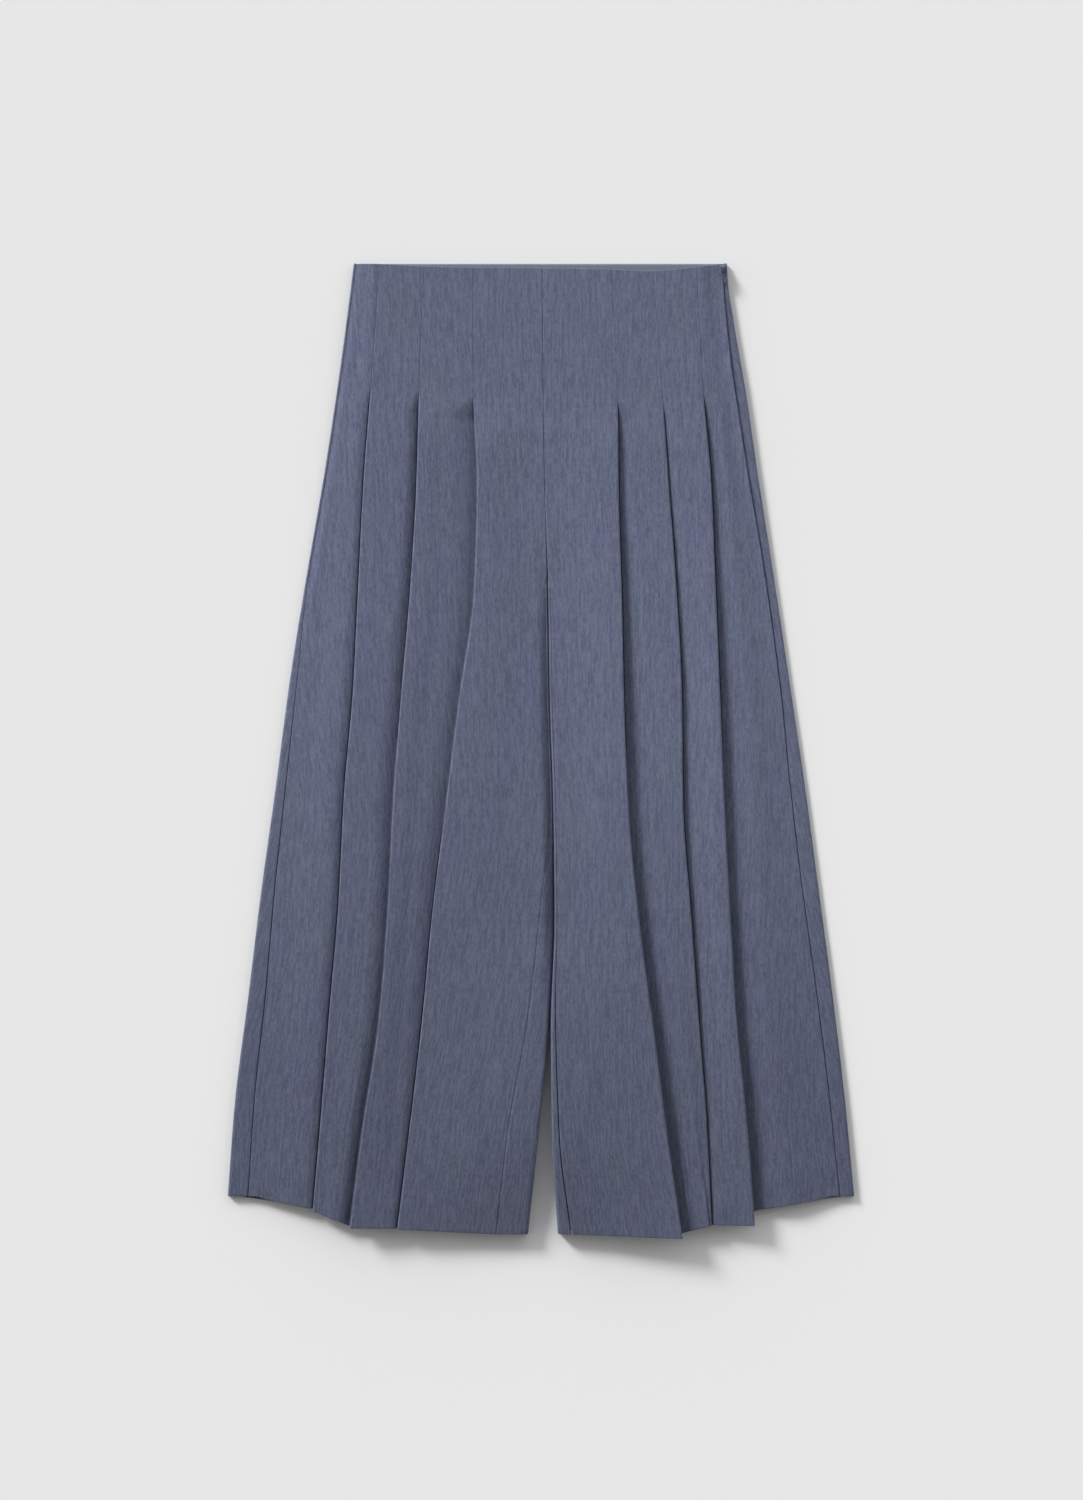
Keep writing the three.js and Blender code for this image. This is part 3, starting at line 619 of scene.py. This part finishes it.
def hem_ridge(down, hem):
    """Height that the turned-up hem adds, eased in at the allowance's edge."""
    ridge = bpy.context.scene.culottes_shape.hem_ridge
    return ridge * (1 - ease(HEM_ALLOWANCE - 1.2, HEM_ALLOWANCE + 0.6, hem - down))


def front_relief(x, down, hem):
    """Height added to the front: the hem's ridge."""
    return hem_ridge(down, hem)


def back_relief(x, down, hem):
    """The back lies flat."""
    return np.zeros_like(x)


# Materials


class Nodes:
    """Short calls for a material's nodes."""

    def __init__(self, name):
        self.material = bpy.data.materials.new(name)
        self.material.use_nodes = True
        self.tree = self.material.node_tree
        self.shader = self.tree.nodes["Principled BSDF"]

    def put(self, socket, value):
        """Puts one number or colour on a socket of the shader."""
        self.shader.inputs[socket].default_value = value

    def feed(self, socket, value):
        """Links another node's output to a socket, or sets a plain value."""
        if isinstance(value, bpy.types.NodeSocket):
            self.tree.links.new(value, socket)
        else:
            socket.default_value = value

    def math(self, operation, a, b=0.0):
        """The result of a Math node."""
        made = self.tree.nodes.new("ShaderNodeMath")
        made.operation = operation
        self.feed(made.inputs[0], a)
        self.feed(made.inputs[1], b)
        return made.outputs[0]

    def blend(self, factor, a, b):
        """The result of mixing two colours."""
        made = self.tree.nodes.new("ShaderNodeMix")
        made.data_type = "RGBA"
        self.feed(made.inputs["Factor"], factor)
        self.feed(made.inputs["A"], a)
        self.feed(made.inputs["B"], b)
        return made.outputs["Result"]

    def scaled(self, a, b):
        """The product of two colours."""
        made = self.tree.nodes.new("ShaderNodeVectorMath")
        made.operation = "MULTIPLY"
        self.feed(made.inputs[0], a)
        self.feed(made.inputs[1], b)
        return made.outputs["Vector"]

    def coordinate(self, size, turn=0.0, uv=True):
        """Coordinates in which one unit is size = (across, along, up) in metres."""
        source = self.tree.nodes.new("ShaderNodeTexCoord").outputs["UV" if uv else "Object"]
        mapping = self.tree.nodes.new("ShaderNodeMapping")
        mapping.inputs["Rotation"].default_value = (0, 0, turn)
        mapping.inputs["Scale"].default_value = [1 / s for s in size]
        self.tree.links.new(source, mapping.inputs["Vector"])
        return mapping.outputs["Vector"]

    def noise(self, size, detail=2.0, roughness=0.5, uv=True):
        """A noise of about 0 to 1 whose spots have that size in metres."""
        made = self.tree.nodes.new("ShaderNodeTexNoise")
        made.inputs["Scale"].default_value = 1.0
        made.inputs["Detail"].default_value = detail
        made.inputs["Roughness"].default_value = roughness
        self.tree.links.new(self.coordinate(size, uv=uv), made.inputs["Vector"])
        return made.outputs["Fac"]

    def bump(self, height, distance, strength=1.0):
        """Feeds a height to the shader's normal."""
        made = self.tree.nodes.new("ShaderNodeBump")
        made.inputs["Strength"].default_value = strength
        made.inputs["Distance"].default_value = distance
        self.tree.links.new(height, made.inputs["Height"])
        self.tree.links.new(made.outputs["Normal"], self.shader.inputs["Normal"])


PAINTED_SHADE_FROM = 0.3  # where the painted shade towards the hem begins to darken the suiting and where it ends, in metres down the cloth
PAINTED_SHADE_TO = 0.92


def faded(nodes, colour, fade):
    """A colour with painted shade: darkened by that share along the cloth towards its hem, standing in for
    the light's falloff there.
    """
    place = nodes.tree.nodes.new("ShaderNodeSeparateXYZ")
    nodes.tree.links.new(nodes.tree.nodes.new("ShaderNodeTexCoord").outputs["UV"], place.inputs[0])
    down = nodes.tree.nodes.new("ShaderNodeMapRange")
    down.interpolation_type = "SMOOTHSTEP"
    down.inputs["From Min"].default_value = -PAINTED_SHADE_FROM
    down.inputs["From Max"].default_value = -PAINTED_SHADE_TO
    down.inputs["To Min"].default_value = 1.0
    down.inputs["To Max"].default_value = 1.0 - fade
    nodes.tree.links.new(place.outputs["Y"], down.inputs["Value"])
    scaled = nodes.tree.nodes.new("ShaderNodeVectorMath")
    scaled.operation = "SCALE"
    nodes.tree.links.new(colour, scaled.inputs[0])
    nodes.tree.links.new(down.outputs["Result"], scaled.inputs["Scale"])
    return scaled.outputs["Vector"]


# Streaks of the heathered yarn: width and length in millimetres, octaves, and share of the colour
STREAKS = {
    "slub": {"width": 2.6, "length": 60, "detail": 2, "share": 0.2},
    "long": {"width": 1.8, "length": 17, "detail": 2, "share": 0.33},
    "short": {"width": 1.4, "length": 4.6, "detail": 2, "share": 0.29},
    "fleck": {"width": 1.1, "length": 1.3, "detail": 1, "share": 0.18},
}
CLOUD = (40, 100)  # width and length of the clouds that lean to green or to blue
GREENER = (1.0, 1.07, 0.96, 1)
BLUER = (1.0, 0.93, 1.04, 1)


def heathered(nodes, dark, light, contrast):
    """Colour of heathered yarn, where streaks choose between two yarn colours, and its short streaks."""
    streak = {
        name: nodes.noise((row["width"] * MM, row["length"] * MM, 1), detail=row["detail"])
        for name, row in STREAKS.items()
    }
    streaks = 0.0
    for name, row in STREAKS.items():
        streaks = nodes.math("ADD", streaks, nodes.math("MULTIPLY", streak[name], row["share"]))
    centred = nodes.math("MULTIPLY", nodes.math("SUBTRACT", streaks, 0.5), contrast)
    colour = nodes.blend(nodes.math("ADD", centred, 0.5), (*dark, 1), (*light, 1))
    cloud = nodes.noise((CLOUD[0] * MM, CLOUD[1] * MM, 1), detail=2)
    return nodes.scaled(colour, nodes.blend(cloud, GREENER, BLUER)), streak["short"]


def twill(nodes, pitch):
    """Height of a fine twill: slanting ribs, a sine across the cloth's own coordinates."""
    wave = nodes.tree.nodes.new("ShaderNodeTexWave")
    wave.inputs["Scale"].default_value = 1.0
    wave.inputs["Distortion"].default_value = 0.6
    spot = nodes.coordinate((pitch, pitch, 1), turn=1.1)
    nodes.tree.links.new(spot, wave.inputs["Vector"])
    return wave.outputs["Fac"]


def heathered_suiting(colours):
    """Blue-grey heathered suiting with a soft nap, with painted shade that darkens it towards the hem where
    the light falls off.
    """
    nodes = Nodes("heathered_suiting")
    colour, streak = heathered(nodes, colours.yarn_dark, colours.yarn_light, 7)
    # The suiting's colour carries painted shade, darker towards the hem where the light falls off
    nodes.feed(nodes.shader.inputs["Base Color"], faded(nodes, colour, colours.fade))
    nodes.put("Roughness", 0.88)
    nodes.put("Specular IOR Level", 0.2)
    nodes.put("Sheen Weight", 0.1)
    nodes.put("Sheen Roughness", 0.45)
    ribs = nodes.math("MULTIPLY", twill(nodes, 0.7 * MM), 0.3)
    nodes.bump(nodes.math("ADD", nodes.math("MULTIPLY", streak, 0.7), ribs), 0.12 * MM)
    return nodes.material


def plain_facing(colours):
    """Plain facing cloth, smoother and a little greener than the suiting."""
    nodes = Nodes("plain_facing")
    dark = [c * 0.9 for c in colours.facing]
    light = [c * 1.1 for c in colours.facing]
    colour, streak = heathered(nodes, dark, light, 1.4)
    nodes.feed(nodes.shader.inputs["Base Color"], colour)
    nodes.put("Roughness", 0.75)
    nodes.put("Specular IOR Level", 0.3)
    nodes.bump(streak, 0.06 * MM)
    return nodes.material


def woven_tape(colours):
    """Woven zip tape: fine ribs along its length."""
    nodes = Nodes("woven_tape")
    rib = nodes.noise((0.5 * MM, 6 * MM, 1), detail=1)
    dark = [c * 0.8 for c in colours.tape]
    nodes.feed(nodes.shader.inputs["Base Color"], nodes.blend(rib, (*dark, 1), (*colours.tape, 1)))
    nodes.put("Roughness", 0.7)
    nodes.bump(rib, 0.1 * MM)
    return nodes.material


def nylon_coil(colours):
    """Nylon of the zip's coil, half glossy."""
    nodes = Nodes("nylon_coil")
    spots = nodes.noise((2 * MM, 2 * MM, 2 * MM), uv=False)
    dark = [c * 0.75 for c in colours.tape]
    nodes.feed(nodes.shader.inputs["Base Color"], nodes.blend(spots, (*dark, 1), (*colours.tape, 1)))
    nodes.put("Roughness", 0.4)
    return nodes.material


def baked_enamel(colours):
    """Baked enamel on the slider and its pull, with slight wear in its gloss."""
    nodes = Nodes("baked_enamel")
    wear = nodes.noise((1.5 * MM, 1.5 * MM, 1.5 * MM), detail=3, uv=False)
    worn = [c * 1.5 for c in colours.enamel]
    amount = nodes.math("MULTIPLY", wear, 0.5)
    nodes.feed(nodes.shader.inputs["Base Color"], nodes.blend(amount, (*colours.enamel, 1), (*worn, 1)))
    roughness = nodes.math("ADD", nodes.math("MULTIPLY", wear, 0.25), 0.25)
    nodes.feed(nodes.shader.inputs["Roughness"], roughness)
    nodes.put("Metallic", 0.3)
    nodes.put("Coat Weight", 0.3)
    nodes.bump(wear, 0.02 * MM)
    return nodes.material


def material(make):
    """A material that is made once and found by its name, its maker's, after that."""
    found = bpy.data.materials.get(make.__name__)
    return found if found else make(bpy.context.scene.culottes_colours)


def finish(piece, body, surface):
    """Gives a piece its material and the body that it rides on."""
    piece.data.materials.clear()
    piece.data.materials.append(surface)
    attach(piece, body)
    return piece


# Sizes and colours that a user may change


class CulottesShape(bpy.types.PropertyGroup):
    """Sizes of the cloth."""

    cloth: FloatProperty(
        name="Cloth",
        description="Thickness of the suiting, in millimetres",
        default=0.8,
        min=0.3,
        max=1.4,
    )
    hem_ridge: FloatProperty(
        name="Hem ridge",
        description="Height of the turned-up hem under the cloth, in millimetres",
        default=0.35,
    )
    level_step: FloatProperty(
        name="Level step",
        description="Distance between two rows of points, in millimetres",
        default=4.6,
    )


class CulottesColours(bpy.types.PropertyGroup):
    """Colours of the cloth and the zip, as linear light."""

    yarn_dark: FloatVectorProperty(
        name="Dark yarn",
        description="Darkest yarn of the suiting",
        subtype="COLOR",
        default=(0.088, 0.1, 0.162),
    )
    yarn_light: FloatVectorProperty(
        name="Light yarn",
        description="Lightest yarn of the suiting",
        subtype="COLOR",
        default=(0.14, 0.157, 0.236),
    )
    # Painted shade: how much the suiting's colour is darkened at its hem, standing in for the light's
    # falloff
    fade: FloatProperty(
        name="Fade",
        description="How much darker the suiting is at its hem",
        default=0.3,
        subtype="FACTOR",
    )
    facing: FloatVectorProperty(
        name="Facing",
        description="Facing inside the waist",
        subtype="COLOR",
        default=(0.15, 0.18, 0.216),
    )
    tape: FloatVectorProperty(
        name="Tape",
        description="Zip tape and coil",
        subtype="COLOR",
        default=(0.07, 0.08, 0.125),
    )
    enamel: FloatVectorProperty(
        name="Enamel",
        description="Slider and pull",
        subtype="COLOR",
        default=(0.09, 0.1, 0.15),
    )


class CulottesStage(bpy.types.PropertyGroup):
    """Light, floor and camera."""

    floor: FloatProperty(
        name="Floor",
        description="Reflectance of the floor",
        default=0.8,
        subtype="FACTOR",
    )
    sky: FloatProperty(
        name="Sky",
        description="Strength of the soft light from all round",
        default=0.58,
    )
    sky_low: FloatProperty(
        name="Low light",
        description="Power by which the light grows from straight above to the horizon",
        default=1.25,
    )
    sky_lean: FloatProperty(
        name="Lean",
        description="How much brighter than its middle the light is on the waist's side",
        default=0.95,
    )
    key: FloatProperty(
        name="Key",
        description="Strength of the light from the upper left",
        default=3.75,
    )
    key_height: FloatProperty(
        name="Key height",
        description="Angle of that light above the floor",
        default=0.36,
        subtype="ANGLE",
    )
    key_turn: FloatProperty(
        name="Key turn",
        description="Its angle from straight left towards the waist",
        default=0.8,
        subtype="ANGLE",
    )
    key_softness: FloatProperty(
        name="Key softness",
        description="Angle that it covers",
        default=0.25,
        subtype="ANGLE",
    )
    camera_height: FloatProperty(
        name="Camera height",
        description="Distance from the floor to the camera",
        default=3.0,
        unit="LENGTH",
    )


# Pieces


class CULOTTES_OT_fronts(bpy.types.Operator):
    """Both fronts, each with three knife pleats"""

    bl_idname = "culottes.fronts"
    bl_label = "Fronts"

    def execute(self, context):
        shape = context.scene.culottes_shape
        levels = levels_for(shape.level_step)
        for leg in LEGS:
            section = front_section(leg, levels, shape.cloth)
            name = f"{leg.side}_front_cloth"
            made, flat = cloth_piece(name, leg, section, front_distance, shape.cloth, front_relief)
            finish(made, "garment", material(heathered_suiting))
            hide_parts(f"{leg.side}_front")
        return {"FINISHED"}


class CULOTTES_OT_backs(bpy.types.Operator):
    """Both backs, flat on the floor and rolled round at the side seams and inseams"""

    bl_idname = "culottes.backs"
    bl_label = "Backs"

    def execute(self, context):
        shape = context.scene.culottes_shape
        levels = levels_for(shape.level_step * 1.2)
        for leg in LEGS:
            section = back_section(leg, levels, shape.cloth)
            name = f"{leg.side}_back_cloth"
            made, flat = cloth_piece(name, leg, section, back_distance, shape.cloth, back_relief)
            finish(made, "garment", material(heathered_suiting))
            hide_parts(f"{leg.side}_back")
        return {"FINISHED"}


class CULOTTES_OT_facing(bpy.types.Operator):
    """The facing inside the back's waist"""

    bl_idname = "culottes.facing"
    bl_label = "Waist facing"

    def execute(self, context):
        cloth = context.scene.culottes_shape.cloth
        columns = 90
        edge = np.array([0, 0.2, 0.5, 1])
        depth = np.concatenate([edge, np.linspace(3, FACING_DEPTH - 3, 12), FACING_DEPTH - edge[::-1]])
        level = (FACING_DROP + depth)[:, None]
        taper = FACING_TAPER * depth[:, None] / FACING_DEPTH
        right = column(RIGHT_OUTLINE, "edge", level) + FACING_INSET + taper
        left = column(LEFT_OUTLINE, "edge", level) - FACING_INSET - taper
        x = mix(right, left, np.linspace(0, 1, columns)[None, :])
        down = level * np.ones_like(x)
        z = np.full_like(x, CLOTH + FACING_LIFT + cloth / 2)
        half = cloth / 2 * MM * rounded_edge(np.minimum(depth, FACING_DEPTH - depth), 0.8)[:, None]
        uv = np.stack([x * MM, -down * MM], axis=-1)
        made = shell("back_waist_facing_cloth", place(x, down, z), half * np.ones_like(x), uv, 1)
        finish(made, "garment", material(plain_facing))
        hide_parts("back_waist_facing")
        return {"FINISHED"}


def zip_seam(level):
    """Where the left side seam lies across the garment."""
    leg = LEGS[1]
    return column(leg.outline, "edge", level) - column(leg.roll, "side", level)


class CULOTTES_OT_zip_tape(bpy.types.Operator):
    """The zip's tape under the left side seam"""

    bl_idname = "culottes.zip_tape"
    bl_label = "Zip tape"

    def execute(self, context):
        thickness = 0.6
        levels = np.linspace(ZIP_TOP, ZIP_LENGTH, 60)[:, None]
        across = np.linspace(-TAPE_REACH, TAPE_PAST, 12)[None, :]
        x = zip_seam(levels) + across
        down = levels * np.ones_like(x)
        z = np.full_like(x, TAPE_HEIGHT)
        uv = np.stack([across * MM * np.ones_like(x), -down * MM], axis=-1)
        half = np.full_like(x, thickness / 2 * MM)
        made = shell("zip_tape_cloth", place(x, down, z), half, uv, 1)
        finish(made, "garment", material(woven_tape))
        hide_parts("zip_tape")
        # The tape follows a slanting seam, so it is longer than its drop, and its area a little more
        return {"FINISHED"}


class CULOTTES_OT_zip_coil(bpy.types.Operator):
    """The zip's closed coil, along the edge of its tape"""

    bl_idname = "culottes.zip_coil"
    bl_label = "Zip coil"

    def execute(self, context):
        start = 12
        turn = 1.3
        steps = 10
        sides = 6
        wire = 0.25
        half_width = 0.825
        half_height = 0.45
        inset = 1.2
        below_tape = 1.3
        count = int((ZIP_LENGTH - start) / turn * steps)
        t = np.arange(count) / steps
        level = start + t * turn
        angle = 2 * np.pi * t
        x = zip_seam(level) - inset + half_width * np.cos(angle)
        z = TAPE_HEIGHT - below_tape + half_height * np.sin(angle)
        line = place(x, level, z)
        along = np.gradient(line, axis=0)
        along /= np.linalg.norm(along, axis=1, keepdims=True)
        first = np.cross(along, [0, 1, 0])
        first /= np.linalg.norm(first, axis=1, keepdims=True)
        second = np.cross(along, first)
        round_it = 2 * np.pi * np.arange(sides + 1) / sides
        cosine = np.cos(round_it)[None, :, None]
        sine = np.sin(round_it)[None, :, None]
        ring = cosine * first[:, None] + sine * second[:, None]
        points = line[:, None] + ring[:, :-1] * wire * MM
        made = mesh_object("zip_coil", points.reshape(-1, 3), tube_faces(count, sides))
        finish(made, "garment", material(nylon_coil))
        return {"FINISHED"}


def tube_faces(rings, sides):
    """Quads of a tube of rings, with its ends closed by quads for an even number of sides."""
    a = (np.arange(rings - 1)[:, None] * sides + np.arange(sides)).ravel()
    b = (np.arange(rings - 1)[:, None] * sides + (np.arange(sides) + 1) % sides).ravel()
    walls = np.stack([a, b, b + sides, a + sides], axis=1)
    fan = np.array([[0, 3, 2, 1], [0, 5, 4, 3]])
    last = (rings - 1) * sides + fan[:, ::-1]
    return np.concatenate([walls, fan, last])


def softened_copy(node, name, width):
    """A CAD node's copy with its doubles merged and its edges rounded by a bevel."""
    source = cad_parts[node]
    made = source.copy()
    made.data = source.data.copy()
    for key in [key for key in made.keys() if key.startswith("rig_")]:
        del made[key]
    made.name = name
    made.parent = None
    bpy.context.scene.collection.objects.link(made)
    made.hide_render = False
    made.hide_viewport = False
    work = bmesh.new()
    work.from_mesh(made.data)
    bmesh.ops.remove_doubles(work, verts=work.verts, dist=1e-6)
    bmesh.ops.dissolve_limit(work, angle_limit=0.02, verts=work.verts, edges=work.edges)
    work.to_mesh(made.data)
    work.free()
    bevel = made.modifiers.new("rounded", "BEVEL")
    bevel.width = width * MM
    bevel.segments = 2
    bevel.limit_method = "ANGLE"
    bevel.angle_limit = 0.6
    return made


class CULOTTES_OT_zip_metal(bpy.types.Operator):
    """The zip's slider and its pull"""

    bl_idname = "culottes.zip_metal"
    bl_label = "Slider and pull"

    def execute(self, context):
        surface = material(baked_enamel)
        slider = softened_copy("zip_slider", "zip_slider_enamel", 0.15)
        finish(slider, "garment", surface)
        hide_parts("zip_slider")
        pull = softened_copy("zip_pull", "zip_pull_enamel", 0.2)
        finish(pull, "pull", surface)
        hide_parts("zip_pull")
        return {"FINISHED"}


class CULOTTES_OT_stage(bpy.types.Operator):
    """A pale floor, soft light from the waist's side and a camera straight above"""

    bl_idname = "culottes.stage"
    bl_label = "Stage"

    def execute(self, context):
        scene = context.scene
        stage = scene.culottes_stage
        make_floor(stage.floor)
        world = bpy.data.worlds.new("studio")
        world.use_nodes = True
        tree = world.node_tree
        background = tree.nodes["Background"]
        background.inputs["Color"].default_value = (1, 1, 1, 1)
        direction = tree.nodes.new("ShaderNodeTexCoord").outputs["Generated"]
        apart = tree.nodes.new("ShaderNodeSeparateXYZ")
        tree.links.new(direction, apart.inputs[0])

        def math(operation, a, b):
            made = tree.nodes.new("ShaderNodeMath")
            made.operation = operation
            for socket, value in zip(made.inputs, (a, b)):
                if isinstance(value, bpy.types.NodeSocket):
                    tree.links.new(value, socket)
                else:
                    socket.default_value = value
            return made.outputs[0]

        power = stage.sky_low
        # Under (1 - z)^p the floor gets 2 / ((p + 1)(p + 2)) of an even sky's light, made up for here
        level_floor = (power + 1) * (power + 2) / 2
        low = math("POWER", math("SUBTRACT", 1.0, math("ABSOLUTE", apart.outputs["Z"], 0.0)), power)
        lean = math("ADD", math("MULTIPLY", apart.outputs["Y"], stage.sky_lean), 1.0)
        strength = math("MULTIPLY", math("MULTIPLY", low, lean), stage.sky * level_floor)
        tree.links.new(strength, background.inputs["Strength"])
        scene.world = world
        light = bpy.data.lights.new("key", "SUN")
        light.energy = stage.key
        light.angle = stage.key_softness
        key = bpy.data.objects.new("key", light)
        low_away = Vector((np.cos(stage.key_turn), -np.sin(stage.key_turn), -np.tan(stage.key_height)))
        key.rotation_mode = "QUATERNION"
        key.rotation_quaternion = low_away.to_track_quat("-Z", "Y")
        scene.collection.objects.link(key)
        make_camera(scene, stage.camera_height)
        scene.view_settings.view_transform = "Standard"
        scene.view_settings.look = "None"
        return {"FINISHED"}


def make_floor(reflectance):
    """A large flat floor just under the garment."""
    reach = 6.0
    corners = np.array([[-1, -1, 0], [1, -1, 0], [1, 1, 0], [-1, 1, 0]], float) * reach
    corners[:, 2] = -0.1 * MM
    floor = mesh_object("floor", corners, np.array([[0, 1, 2, 3]]))
    nodes = Nodes("floor paper")
    grain = nodes.noise((0.4, 0.4, 0.4), detail=1, uv=False)
    pale = [reflectance * 0.997] * 3 + [1]
    paler = [reflectance * 1.003] * 3 + [1]
    nodes.feed(nodes.shader.inputs["Base Color"], nodes.blend(grain, pale, paler))
    nodes.put("Roughness", 1.0)
    nodes.put("Specular IOR Level", 0.0)
    floor.data.materials.append(nodes.material)


def make_camera(scene, height):
    """A camera straight above, framing what the photograph frames."""
    data = bpy.data.cameras.new("camera")
    camera = bpy.data.objects.new("camera", data)
    cloth_height = 6 * MM
    long_side = PHOTO_HEIGHT * MM_PER_PIXEL * MM
    data.lens = data.sensor_width * (height - cloth_height) / long_side
    data.clip_end = 50
    middle_down = (PHOTO_HEIGHT / 2 - WAIST_PIXEL_Y) * MM_PER_PIXEL
    camera.location = (MIDDLE_X, WAIST_Y - middle_down * MM, height)
    scene.collection.objects.link(camera)
    scene.camera = camera


class CULOTTES_PT_panel(bpy.types.Panel):
    """Sizes, colours and pieces in the 3D view's sidebar"""

    bl_label = "Pleated Culottes"
    bl_idname = "CULOTTES_PT_panel"
    bl_space_type = "VIEW_3D"
    bl_region_type = "UI"
    bl_category = "Culottes"

    def draw(self, context):
        layout = self.layout
        for group in (
            context.scene.culottes_shape,
            context.scene.culottes_colours,
            context.scene.culottes_stage,
        ):
            box = layout.box()
            for name in group.bl_rna.properties.keys():
                if name not in ("rna_type", "name"):
                    box.prop(group, name)
        for piece in PIECES:
            layout.operator(piece.bl_idname)


GROUPS = (CulottesShape, CulottesColours, CulottesStage)
PIECES = (
    CULOTTES_OT_stage,
    CULOTTES_OT_backs,
    CULOTTES_OT_facing,
    CULOTTES_OT_fronts,
    CULOTTES_OT_zip_tape,
    CULOTTES_OT_zip_coil,
    CULOTTES_OT_zip_metal,
)


def register():
    """Registers the classes and puts the three groups on the scene."""
    for made in (*GROUPS, *PIECES, CULOTTES_PT_panel):
        bpy.utils.register_class(made)
    bpy.types.Scene.culottes_shape = PointerProperty(type=CulottesShape)
    bpy.types.Scene.culottes_colours = PointerProperty(type=CulottesColours)
    bpy.types.Scene.culottes_stage = PointerProperty(type=CulottesStage)


def unregister():
    """Takes the groups off the scene and unregisters the classes."""
    del bpy.types.Scene.culottes_stage
    del bpy.types.Scene.culottes_colours
    del bpy.types.Scene.culottes_shape
    for made in reversed((*GROUPS, *PIECES, CULOTTES_PT_panel)):
        bpy.utils.unregister_class(made)


def main():
    register()
    bpy.ops.culottes.stage()
    bpy.ops.culottes.backs()
    bpy.ops.culottes.facing()
    bpy.ops.culottes.fronts()
    bpy.ops.culottes.zip_tape()
    bpy.ops.culottes.zip_coil()
    bpy.ops.culottes.zip_metal()


if __name__ == "__main__":
    main()
